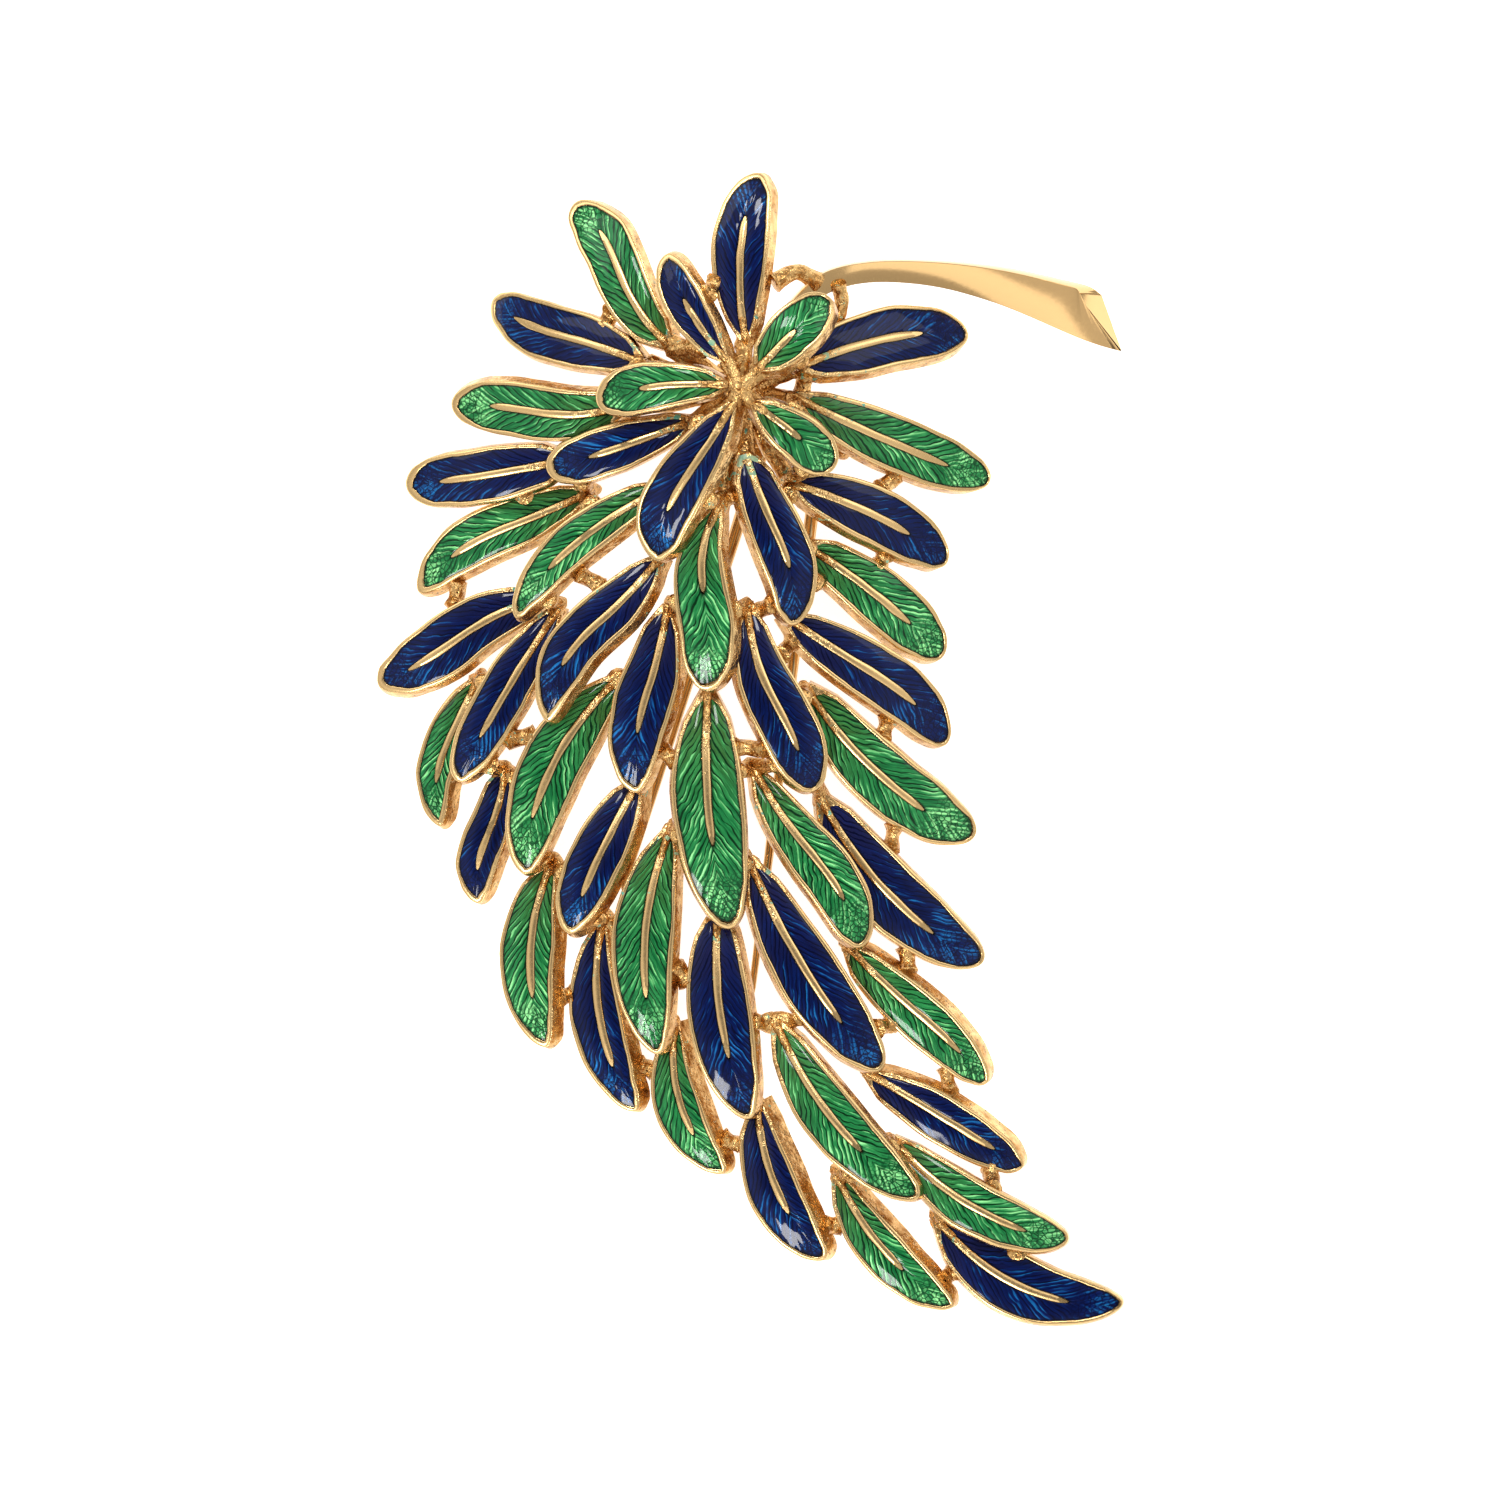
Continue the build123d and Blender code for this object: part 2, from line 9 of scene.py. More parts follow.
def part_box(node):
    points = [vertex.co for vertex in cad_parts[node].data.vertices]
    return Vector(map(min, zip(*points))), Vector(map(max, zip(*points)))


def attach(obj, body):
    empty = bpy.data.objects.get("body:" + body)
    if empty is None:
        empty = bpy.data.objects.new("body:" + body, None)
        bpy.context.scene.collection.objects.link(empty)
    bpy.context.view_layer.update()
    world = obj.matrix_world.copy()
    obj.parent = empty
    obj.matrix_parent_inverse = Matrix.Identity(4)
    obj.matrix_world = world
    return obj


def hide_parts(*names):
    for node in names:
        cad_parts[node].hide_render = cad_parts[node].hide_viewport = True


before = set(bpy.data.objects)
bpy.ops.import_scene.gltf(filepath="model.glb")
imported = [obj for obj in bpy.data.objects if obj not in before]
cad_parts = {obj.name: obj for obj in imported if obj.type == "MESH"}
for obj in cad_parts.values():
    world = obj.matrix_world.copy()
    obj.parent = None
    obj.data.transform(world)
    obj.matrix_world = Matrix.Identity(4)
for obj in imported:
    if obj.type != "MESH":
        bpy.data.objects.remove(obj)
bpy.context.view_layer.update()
bpy.ops.object.select_all(action="DESELECT")
print("frame loaded:", len(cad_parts), "nodes")

mm = 0.001

# The spray as a whole, in mm. Heights are above the plane that the lowest leaves lie on.
spray = Values(
    width=48.5,
    length=75.0,
    crown=10.0,  # height of the leaf bases in the rosette
    leafWidth=4.0,
    leafArch=1.0,
    leafDepth=1.0,
)

# The clip on the back: two eyes under the hub, and the sprung fork that turns in them.
# Places are shares of the spray's width, length and crown. Sizes are in mm.
clip = Values(
    eyes=(0.472, 0.625),
    hingeY=0.767,
    hingeZ=0.22,
    stub=0.8,  # of the pin, beyond an eye's middle
    pinRadius=0.5,
    prongs=[(0.519, (0.329, 0.379, 0.09)), (0.595, (0.501, 0.283, 0.09))],  # root's x, and point
    prongRoot=0.5,
    prongPoint=0.22,
    roundEnd=0.14,  # at the ends of pin and prongs
    eyeRadius=1.1,
    eyeWidth=0.8,
    hole=0.6,
    armFoot=0.5,
    armTop=0.6,
    armLumps=0.12,
)

# Each leaf: colour, base and tip as shares of width and length, base and tip height as shares of
# the crown, width, bow and sway as shares of leafWidth, waist as a share of the leaf's own width,
# peak as a share of its length, blunt (the tip's power), arch as a share of leafArch, roll in
# degrees, and the rib's length as a share of the leaf's
leafColumns = ("colour", "baseX", "baseY", "tipX", "tipY", "baseZ", "tipZ",
               "width", "bow", "sway", "waist", "peak", "blunt", "arch", "roll", "rib")
leafRows = [
    ("blue", 0.495, 0.852, 0.510, 1.000, 0.89, 0.82, 0.98, 0.16, 0, 0.38, 0.55, 2.6, 0.9, -8, 0.73),
    ("blue", 0.471, 0.836, 0.387, 0.929, 1.02, 0.92, 0.73, 0.10, 0, 0.40, 0.60, 2.6, 0.6, -8, 0.60),
    ("green", 0.511, 0.830, 0.607, 0.892, 1.05, 0.97, 0.86, 0, 0, 0.55, 0.48, 2.6, 0.6, -6, 0.50),
    ("green", 0.471, 0.816, 0.294, 0.804, 1.02, 0.86, 0.81, -0.10, 0, 0.40, 0.65, 2.6, 0.8, 0, 0.64),
    ("green", 0.505, 0.800, 0.613, 0.744, 1.02, 0.90, 0.78, 0.03, 0, 0.45, 0.60, 2.6, 0.6, 0, 0.54),
    ("blue", 0.478, 0.800, 0.372, 0.665, 1.02, 0.83, 1.01, -0.13, 0.05, 0.40, 0.60, 2.6, 0.9, 5, 0.70),
    ("green", 0.392, 0.851, 0.266, 0.976, 0.74, 0.40, 0.92, 0, 0.09, 0.62, 0.60, 2.6, 0.9, -6, 0.76),
    ("blue", 0.356, 0.836, 0.153, 0.891, 0.70, 0.11, 0.95, 0.10, -0.05, 0.50, 0.50, 2.6, 0.9, 0, 0.80),
    ("blue", 0.565, 0.832, 0.793, 0.863, 0.74, 0.26, 1.03, 0.15, 0, 0.50, 0.45, 3.0, 0.9, -5, 0.71),
    ("green", 0.333, 0.798, 0.099, 0.801, 0.63, 0.30, 0.95, 0.09, 0.06, 0.60, 0.50, 3.0, 0.9, -5, 0.75),
    ("green", 0.561, 0.806, 0.823, 0.734, 0.72, 0.11, 0.94, -0.07, 0, 0.45, 0.50, 3.0, 1.0, -4, 0.76),
    ("blue", 0.256, 0.752, 0.038, 0.730, 0.49, 0.22, 0.91, 0.03, 0, 0.60, 0.50, 3.4, 0.8, 0, 0.77),
    ("blue", 0.423, 0.786, 0.228, 0.743, 0.72, 0.62, 0.80, 0.03, 0, 0.40, 0.62, 2.6, 0.8, 0, 0.70),
    ("green", 0.289, 0.725, 0.054, 0.639, 0.35, 0.12, 0.93, -0.19, 0.06, 0.45, 0.50, 2.4, 0.7, 4, 0.76),
    ("green", 0.393, 0.730, 0.185, 0.616, 0.66, 0.54, 0.81, -0.25, 0.02, 0.55, 0.50, 2.4, 0.9, 5, 0.71),
    ("blue", 0.494, 0.757, 0.560, 0.609, 0.76, 0.66, 0.94, 0.12, -0.06, 0.58, 0.52, 2.6, 0.9, -6, 0.67),
    ("blue", 0.552, 0.732, 0.766, 0.664, 0.64, 0.24, 0.96, 0.13, 0, 0.45, 0.50, 2.8, 0.9, -5, 0.71),
    ("green", 0.572, 0.679, 0.760, 0.582, 0.38, 0.14, 0.98, 0.08, 0, 0.50, 0.55, 2.8, 0.9, -5, 0.72),
    ("green", 0.463, 0.718, 0.442, 0.552, 0.75, 0.70, 0.99, -0.16, -0.11, 0.32, 0.60, 2.8, 0.9, 4, 0.48),
    ("blue", 0.226, 0.633, 0.001, 0.557, 0.26, 0.11, 1.03, -0.07, -0.06, 0.50, 0.55, 2.2, 0.7, 3, 0.81),
    ("blue", 0.246, 0.626, 0.107, 0.474, 0.39, 0.34, 0.86, -0.04, 0, 0.45, 0.50, 3.0, 0.9, 3, 0.75),
    ("blue", 0.383, 0.669, 0.227, 0.526, 0.63, 0.57, 0.94, -0.24, 0.10, 0.45, 0.47, 2.6, 0.9, 5, 0.72),
    ("blue", 0.391, 0.627, 0.345, 0.464, 0.54, 0.49, 1.03, -0.08, 0.05, 0.40, 0.50, 2.3, 0.8, 4, 0.68),
    ("green", 0.138, 0.566, 0.082, 0.435, 0.14, 0.11, 0.80, -0.22, 0.05, 0.45, 0.45, 2.4, 0.4, 8, 0.73),
    ("blue", 0.497, 0.626, 0.585, 0.465, 0.56, 0.52, 1.01, -0.12, -0.07, 0.38, 0.60, 2.6, 0.9, -4, 0.77),
    ("blue", 0.544, 0.618, 0.766, 0.507, 0.46, 0.16, 0.99, 0.14, -0.05, 0.40, 0.50, 2.8, 0.9, -5, 0.75),
    ("green", 0.576, 0.554, 0.800, 0.424, 0.36, 0.12, 1.05, -0.25, 0, 0.50, 0.55, 2.6, 0.7, 0, 0.74),
    ("green", 0.329, 0.566, 0.195, 0.394, 0.38, 0.30, 1.08, -0.34, 0, 0.45, 0.50, 2.4, 0.9, 3, 0.75),
    ("blue", 0.172, 0.485, 0.133, 0.368, 0.18, 0.11, 0.80, -0.05, 0.06, 0.50, 0.50, 2.6, 0.4, 5, 0.75),
    ("green", 0.444, 0.554, 0.472, 0.346, 0.50, 0.47, 1.17, -0.16, 0, 0.40, 0.45, 2.2, 1.2, 0, 0.64),
    ("green", 0.503, 0.487, 0.652, 0.331, 0.36, 0.38, 0.93, 0.07, -0.07, 0.32, 0.60, 2.8, 0.9, -3, 0.76),
    ("blue", 0.595, 0.459, 0.811, 0.315, 0.32, 0.11, 1.08, -0.29, 0, 0.45, 0.50, 2.4, 0.5, 0, 0.75),
    ("blue", 0.353, 0.476, 0.256, 0.342, 0.35, 0.33, 0.98, -0.05, 0, 0.45, 0.50, 2.6, 0.8, 6, 0.76),
    ("green", 0.235, 0.405, 0.224, 0.243, 0.16, 0.11, 1.04, -0.28, 0, 0.45, 0.50, 2.2, 0.5, 8, 0.73),
    ("green", 0.396, 0.436, 0.376, 0.237, 0.32, 0.28, 1.09, -0.31, 0, 0.40, 0.50, 2.0, 1.0, 4, 0.75),
    ("blue", 0.303, 0.357, 0.346, 0.187, 0.16, 0.11, 0.99, -0.31, 0, 0.34, 0.50, 2.2, 0.5, 8, 0.75),
    ("blue", 0.458, 0.366, 0.498, 0.181, 0.30, 0.28, 1.09, -0.20, 0, 0.45, 0.48, 2.2, 1.0, 3, 0.70),
    ("blue", 0.498, 0.407, 0.675, 0.223, 0.32, 0.28, 1.08, -0.18, 0, 0.35, 0.55, 2.0, 1.0, -2, 0.75),
    ("green", 0.628, 0.333, 0.819, 0.212, 0.20, 0.11, 0.89, 0.03, -0.03, 0.45, 0.50, 2.6, 0.6, 5, 0.79),
    ("green", 0.400, 0.264, 0.464, 0.133, 0.14, 0.11, 0.91, -0.31, 0, 0.45, 0.50, 2.2, 0.5, 8, 0.70),
    ("green", 0.534, 0.266, 0.725, 0.112, 0.26, 0.36, 0.97, -0.26, 0, 0.45, 0.50, 2.2, 0.9, 2, 0.68),
    ("blue", 0.655, 0.222, 0.867, 0.139, 0.14, 0.11, 0.87, 0.02, 0, 0.45, 0.50, 2.6, 0.6, 5, 0.81),
    ("blue", 0.510, 0.195, 0.599, 0.058, 0.14, 0.11, 1.01, -0.24, 0, 0.50, 0.50, 2.2, 0.6, 8, 0.66),
    ("green", 0.615, 0.134, 0.772, 0.017, 0.13, 0.11, 0.87, -0.22, 0, 0.50, 0.50, 2.2, 0.5, 6, 0.65),
    ("green", 0.691, 0.163, 0.926, 0.074, 0.16, 0.19, 0.86, -0.28, 0, 0.45, 0.50, 2.6, 1.1, 0, 0.79),
    ("blue", 0.749, 0.096, 1.000, 0.019, 0.11, 0.11, 1.04, -0.44, 0, 0.50, 0.42, 2.0, 0.2, 0, 0.75),
]
leaves = [Values(**dict(zip(leafColumns, row))) for row in leafRows]


def sprayCorner():
    # the clip's pin tells where the spray's lower left corner lies
    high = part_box("clip_fork")[1]
    pinX = clip.eyes[1] * spray.width + clip.stub
    pinY = clip.hingeY * spray.length + clip.pinRadius
    pinZ = clip.hingeZ * spray.crown + clip.pinRadius
    return high - Vector((pinX, pinY, pinZ)) * mm


corner = sprayCorner()


def inSpray(x, y, z):
    # a place given as shares of the spray's sizes, in mm
    return Vector((x * spray.width, y * spray.length, z * spray.crown))


def inFrame(place):
    # from mm in the spray to metres in the frame
    return corner + place * mm


lanes = 3  # across half a leaf: rib, pocket and rim

leafCup = Values(
    rim=0.27,  # mm, width of the wall's polished top
    rimTip=1.3,  # times as wide round the tip
    rimTipLeft=0.7,  # and more on leaves that point to the left
    tipReach=0.42,  # of the wider rim, along the outline
    tipPower=0.8,
    rimRoom=0.6,  # the most that the rim takes of the room between rib and edge
    rib=0.245,  # mm, half the rib's width
    ribPoint=0.07,  # and at its point
    ribTaper=0.36,  # where its taper starts, along the outline
    taperPower=0.6,
    ribTurn=0.3,  # where its foot starts to turn round its point
    depthUnit=0.42,  # mm, the template's unit of height
    floor=0.55,  # mm, depth of the pocket
    stations=60,  # along the outline, round the tip
    neckStations=1,  # at each end, where there is no pocket
    camber=0.16,  # mm, how far a leaf's edges bend down
    softEdge=0.22,  # bevel, in the template's units
    wallFrom=2.95,  # lane from which a point is on the outer wall
    lean=0.12,  # how far the outer wall leans out, per mm of depth
    leanUp=0.065,  # and more, per degree of roll, on the side that is up
    leanDown=0.03,  # the same where the roll is negative
    leanLimit=0.35,  # of the half width
    sideFrom=0.25,  # where lean and handwork reach their full size, along the outline
    handwork=0.10,  # mm, how far the outline strays
    wobble=0.32,  # of the rim's width
    fineWobble=0.5,  # of the wobble, in shorter waves
    ribWobble=0.2,  # of the rib's width
    pinch=0.55,  # how much the base narrows
    pinchShare=0.14,
    pinchPower=1.5,
    polishDepth=0.05,  # mm, how far down the rim's polish and its painted light go; the wall below gets painted shade
    barbSeed=11.7,
)

# Waves along the outline, a step from leaf to leaf, and a layer of the noise
wavers = {"outline": (7, 4.9, 2), "rim": (6, 7.3, 0), "rimFine": (24, 2.1, 5), "rib": (7, 3.1, 4)}


def sideOf(s):
    return -1 if s < 0 else 1


def besideTip(s):
    # 0 at the tip, 1 along the sides
    return min(1, abs(s) / leafCup.sideFrom)


class LeafCurve:
    # One leaf's own frame in mm: x to the tip, y to its left, z out of its face.
    # s runs along the outline from the base's right corner (-1) round the tip (0) to the left one (1).
    # lane runs across: 0 on the middle line, 1 at the rib's foot, 2 at the rim's inner edge, 3 outside.
    def __init__(self, leaf, number):
        self.leaf = leaf
        self.number = number
        self.base = inSpray(leaf.baseX, leaf.baseY, leaf.baseZ)
        chord = inSpray(leaf.tipX, leaf.tipY, leaf.tipZ) - self.base
        self.length = chord.length
        self.ahead = chord.normalized()
        left = Vector((0, 0, 1)).cross(self.ahead).normalized()
        face = self.ahead.cross(left)
        turn = radians(leaf.roll)
        self.face = face * cos(turn) - left * sin(turn)
        self.left = self.face.cross(self.ahead)
        self.half = leaf.width * spray.leafWidth / 2
        self.bend = leaf.bow * spray.leafWidth
        self.sway = leaf.sway * spray.leafWidth
        self.rise = leaf.arch * spray.leafArch
        self.known = {}

    def waver(self, kind, at, shift=0):
        waves, seed, layer = wavers[kind]
        return noise.noise(Vector((at * waves, self.number * seed, layer + shift)))

    def middle(self, share):
        return self.bend * 4 * share * (1 - share) + self.sway * sin(2 * pi * share)

    def halfWidth(self, share):
        leaf = self.leaf
        if share < leaf.peak:
            pinch = 1 - leafCup.pinch * max(0.0, 1 - share / leafCup.pinchShare) ** leafCup.pinchPower
            return self.half * pinch * (leaf.waist + (1 - leaf.waist) * sin(share / leaf.peak * pi / 2))
        run = (share - leaf.peak) / (1 - leaf.peak)
        return self.half * sqrt(max(0.0, 1 - run ** leaf.blunt))

    def lean(self, s):
        # how far the outer wall leans out, per mm of depth: more on the side that a roll lifts
        roll = self.leaf.roll * sideOf(s) * besideTip(s)
        more = leafCup.leanUp if self.leaf.roll > 0 else leafCup.leanDown
        return max(0, leafCup.lean + more * roll)

    def outline(self, s):
        share = 1 - s * s
        half = self.halfWidth(share)
        inset = (self.lean(s) - leafCup.lean) * spray.leafDepth
        inset = min(max(0, inset), leafCup.leanLimit * half)
        stray = leafCup.handwork * besideTip(s) * self.waver("outline", s)
        return Vector((share * self.length, self.middle(share) + sideOf(s) * (half - inset + stray)))

    def rimWidth(self, s):
        wave = self.waver("rim", s) + leafCup.fineWobble * self.waver("rimFine", s)
        more = leafCup.rimTip - 1 - leafCup.rimTipLeft * self.ahead.x
        tip = 1 + more * max(0.0, 1 - abs(s) / leafCup.tipReach) ** leafCup.tipPower
        return leafCup.rim * tip * (1 + leafCup.wobble * wave)

    def anchors(self, s):
        # the four lane lines' places at s
        keysPerUnit = 2000
        key = round(s * keysPerUnit)
        if key in self.known:
            return self.known[key]
        edge = self.outline(s)
        step = 0.004
        run = self.outline(min(1, s + step)) - self.outline(max(-1, s - step))
        outward = Vector((run.y, -run.x)).normalized()
        share = (1 - s * s) * self.leaf.rib
        spine = Vector((share * self.length, self.middle(share)))
        taper = min(1, abs(s) / leafCup.ribTaper) ** leafCup.taperPower
        ribHalf = leafCup.ribPoint + (leafCup.rib - leafCup.ribPoint) * taper
        ribHalf *= min(1, (1 + self.leaf.width) / 2)
        ribHalf *= 1 + leafCup.ribWobble * self.waver("rib", s * s, s)
        turn = sideOf(s) * pi / 2 * min(1, abs(s) / leafCup.ribTurn)
        foot = spine + Vector((cos(turn), sin(turn))) * ribHalf
        room = (edge - foot).length
        inner = edge - outward * min(self.rimWidth(s), leafCup.rimRoom * room)
        self.known[key] = (spine, foot, inner, edge)
        return self.known[key]

    def across(self, s, lane):
        lines = self.anchors(s)
        lower = min(lanes - 1, int(lane))
        return lines[lower].lerp(lines[lower + 1], lane - lower)

    def backHeight(self, x, drop):
        # the arc that the leaf's back follows, drop below the rim
        half = self.length / 2
        radius = (half ** 2 + self.rise ** 2) / (2 * self.rise)
        return self.rise - radius + sqrt((radius - drop) ** 2 - (x - half) ** 2)

    def place(self, x, y, z):
        # from the leaf's own frame to the spray's
        return self.base + self.ahead * x + self.left * y + self.face * z

    def point(self, s, lane, height):
        # in metres in the frame; height is above the rim
        spot = self.across(s, lane)
        if lane > leafCup.wallFrom and height < 0:
            inner, edge = self.anchors(s)[2:]
            spot = spot - (edge - inner).normalized() * self.lean(s) * height
        share = min(1, max(0, spot.x / self.length))
        off = (spot.y - self.middle(share)) / self.half
        z = self.backHeight(spot.x, -height) - leafCup.camber * off * off
        return inFrame(self.place(spot.x, spot.y, z))


curves = [LeafCurve(leaf, number) for number, leaf in enumerate(leaves, start=1)]


# Helpers for modelling in edit mode

def only(piece):
    # selects the piece and nothing else
    bpy.ops.object.select_all(action="DESELECT")
    piece.select_set(True)
    bpy.context.view_layer.objects.active = piece


def startEdit(piece):
    # with all of it selected
    only(piece)
    bpy.ops.object.mode_set(mode="EDIT")
    bpy.ops.mesh.select_all(action="SELECT")


def endEdit():
    bpy.ops.object.mode_set(mode="OBJECT")


def pick(piece, mode, wanted):
    # selects the edges or faces of the open mesh that wanted says yes to
    bpy.ops.mesh.select_mode(type=mode)
    bpy.ops.mesh.select_all(action="DESELECT")
    mesh = bmesh.from_edit_mesh(piece.data)
    for part in {"EDGE": mesh.edges, "FACE": mesh.faces}[mode]:
        if wanted(part):
            part.select_set(True)
    mesh.select_flush_mode()
    bmesh.update_edit_mesh(piece.data)


def faceOut():
    bpy.ops.mesh.select_all(action="SELECT")
    bpy.ops.mesh.normals_make_consistent(inside=False)


def extrudeUp(height):
    bpy.ops.mesh.extrude_region_move(TRANSFORM_OT_translate={"value": (0, 0, height)})


def sharperThan(degrees):
    def sharp(edge):
        return len(edge.link_faces) == 2 and edge.calc_face_angle() > radians(degrees)
    return sharp


def named(name):
    piece = bpy.context.object
    piece.name = piece.data.name = name
    return piece


def copyOf(template, name):
    piece = template.copy()
    piece.data = template.data.copy()
    piece.name = piece.data.name = name
    bpy.context.scene.collection.objects.link(piece)
    return piece


def smooth(piece, angle=40):
    only(piece)
    bpy.ops.object.shade_smooth_by_angle(angle=radians(angle))


def closeUp(piece, distance):
    # merges doubles and turns the faces out; the distance is in mm
    startEdit(piece)
    bpy.ops.mesh.remove_doubles(threshold=distance * mm)
    faceOut()
    endEdit()


def putOn(piece, material, slot, *nodes):
    piece.data.materials.clear()
    piece.data.materials.append(material)
    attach(piece, "root")
    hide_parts(*nodes)


# The templates lie flat: x is s, y is the lane, z is height in depth units

pocketEnd = 1 - 2 * leafCup.neckStations / leafCup.stations
small = 0.01


def makeCupTemplate():
    bpy.ops.mesh.primitive_grid_add(x_subdivisions=leafCup.stations, y_subdivisions=lanes, size=2)
    piece = named("cupTemplate")
    startEdit(piece)
    depth = spray.leafDepth / leafCup.depthUnit
    bpy.ops.transform.resize(value=(1, lanes / 2, 1))
    bpy.ops.transform.translate(value=(0, lanes / 2, -depth))
    extrudeUp(depth)

    def inPocket(face):
        middle = face.calc_center_median()
        return middle.z > -small and 1 < middle.y < 2 and abs(middle.x) < pocketEnd

    pick(piece, "FACE", inPocket)
    extrudeUp(-leafCup.floor / leafCup.depthUnit)

    pick(piece, "FACE", lambda face: face.calc_center_median().y < small)
    bpy.ops.mesh.delete(type="FACE")

    def polishedEdge(edge):
        a, b = edge.verts[0].co, edge.verts[1].co
        runs = abs(a.y - b.y) < small and abs(a.z) < small and abs(b.z) < small
        inside = max(abs(a.x), abs(b.x)) < pocketEnd + small
        return runs and (a.y > lanes - small or (a.y > 1 - small and inside))

    pick(piece, "EDGE", polishedEdge)
    bpy.ops.mesh.bevel(offset=leafCup.softEdge, segments=2, clamp_overlap=False)
    endEdit()
    return piece


enamelFill = Values(
    sink=0.07,  # mm, of its edge below the rim
    rise=0.06,  # of its underside above the pocket's floor, in the template's units
    crown=0.05,  # mm, of its middle above its edge
    crownPower=0.7,
    crownGrowth=6,  # how fast the crown grows from the base on
    rows=10,
    gap=0.02,  # from the walls, as a share of the lane
    lane=1.5,  # the pocket's middle
    ripple=0.014,  # mm
    waves=(17, 2.5, 5.7),  # of the ripple: along, across and from leaf to leaf
)


def makeEnamelTemplate():
    stations = leafCup.stations - 2 * leafCup.neckStations
    bpy.ops.mesh.primitive_grid_add(x_subdivisions=stations, y_subdivisions=enamelFill.rows, size=2)
    piece = named("enamelTemplate")
    startEdit(piece)
    unit = leafCup.depthUnit
    bpy.ops.transform.resize(value=(pocketEnd, 0.5 - enamelFill.gap, 1))
    bpy.ops.transform.translate(value=(0, enamelFill.lane, -leafCup.floor / unit + enamelFill.rise))
    extrudeUp((leafCup.floor - enamelFill.sink) / unit - enamelFill.rise)
    endEdit()
    return piece


def layMesh(piece, curve, crown=0.0):
    # bends a flat template onto a leaf and keeps what the materials need to know as attributes
    mesh = piece.data
    known = {"polish": [], "along": [], "lane": [], "barb": []}
    for vertex in mesh.vertices:
        s, line, height = vertex.co.x, vertex.co.y, vertex.co.z * leafCup.depthUnit
        across = min(1, max(0, line - 1))
        if crown and height > -leafCup.floor / 2:
            growth = min(1, (1 - s * s) * enamelFill.crownGrowth)
            waves = enamelFill.waves
            height += crown * sin(pi * across) ** enamelFill.crownPower * growth
            height += enamelFill.ripple * noise.noise(
                Vector((s * waves[0], across * waves[1], curve.number * waves[2])))
        spot = curve.across(s, line)
        reach = min(1, max(0, spot.x / curve.length))
        # polish: 1 on the polished rim and rib tops, which get painted light; 0 on the walls below, which
        # get painted shade
        polishedAndLit = height > -leafCup.polishDepth and abs(s) < pocketEnd + small
        known["polish"].append(1.0 if polishedAndLit else 0.0)
        known["along"].append(reach)
        known["lane"].append(across)
        known["barb"].extend((spot.x, spot.y - curve.middle(reach), curve.number * leafCup.barbSeed))
        vertex.co = curve.point(s, line, height)
    for name, values in known.items():
        kind, key = ("FLOAT_VECTOR", "vector") if name == "barb" else ("FLOAT", "value")
        mesh.attributes.new(name, kind, "POINT").data.foreach_set(key, values)
    mesh.update()


# Materials. Object coordinates are in metres, so the groups get them in mm.

class Wiring:
    # short ways to add and join nodes in a tree
    def __init__(self, tree):
        self.tree = tree

    def add(self, kind, settings=None, **values):
        node = self.tree.nodes.new(kind)
        for key, value in (settings or {}).items():
            setattr(node, key, value)
        for key, value in values.items():
            self.put(node.inputs[key.replace("_", " ")], value)
        return node

    def put(self, socket, value):
        if isinstance(value, bpy.types.NodeSocket):
            self.tree.links.new(value, socket)
        else:
            socket.default_value = value

    def math(self, operation, *values, clamp=False):
        node = self.add("ShaderNodeMath", {"operation": operation, "use_clamp": clamp})
        for socket, value in zip(node.inputs, values):
            self.put(socket, value)
        return node.outputs[0]

    def plus(self, a, b):
        return self.math("ADD", a, b)

    def minus(self, a, b):
        return self.math("SUBTRACT", a, b)

    def times(self, a, b):
        return self.math("MULTIPLY", a, b)

    def mix(self, factor, a, b):
        node = self.add("ShaderNodeMix", {"data_type": "RGBA"})
        for socket, value in zip((node.inputs[0], *node.inputs[6:8]), (factor, a, b)):
            self.put(socket, value)
        return node.outputs[2]

    def ramp(self, value, low, high, start=0.0, end=1.0):
        # a straight run from start to end as value goes from low to high
        node = self.add("ShaderNodeMapRange", {"clamp": True})
        for socket, number in zip(node.inputs, (value, low, high, start, end)):
            self.put(socket, number)
        return node.outputs[0]

    def noise(self, vector, scale, detail=3.0, roughness=0.55):
        node = self.add("ShaderNodeTexNoise", Vector=vector, Scale=scale, Detail=detail, Roughness=roughness)
        return node.outputs["Fac"]

    def cells(self, vector, scale, feature):
        node = self.add("ShaderNodeTexVoronoi", {"feature": feature}, Vector=vector, Scale=scale)
        return node.outputs["Distance"]

    def kept(self, name, output="Fac"):
        # what layMesh kept on the mesh
        return self.add("ShaderNodeAttribute", {"attribute_name": name}).outputs[output]

    def bump(self, shader, strength, distance, height):
        node = self.add("ShaderNodeBump", Strength=strength, Distance=distance * mm, Height=height)
        self.put(shader.inputs["Normal"], node.outputs[0])

    def use(self, group, **values):
        node = self.add("ShaderNodeGroup", {"node_tree": group}, **values)
        return node.outputs


def makeGroup(name, inputs, outputs):
    # an input with no value is a vector, and one with a tuple a colour
    tree = bpy.data.node_groups.new(name, "ShaderNodeTree")
    for label, value in inputs.items():
        kind = "Vector" if value is None else "Color" if isinstance(value, tuple) else "Float"
        socket = tree.interface.new_socket(name=label, in_out="INPUT", socket_type="NodeSocket" + kind)
        if value is not None:
            socket.default_value = value
    for label in outputs:
        kind = "Color" if label == "Color" else "Float"
        tree.interface.new_socket(name=label, in_out="OUTPUT", socket_type="NodeSocket" + kind)
    return Wiring(tree), tree.nodes.new("NodeGroupInput").outputs, tree.nodes.new("NodeGroupOutput").inputs


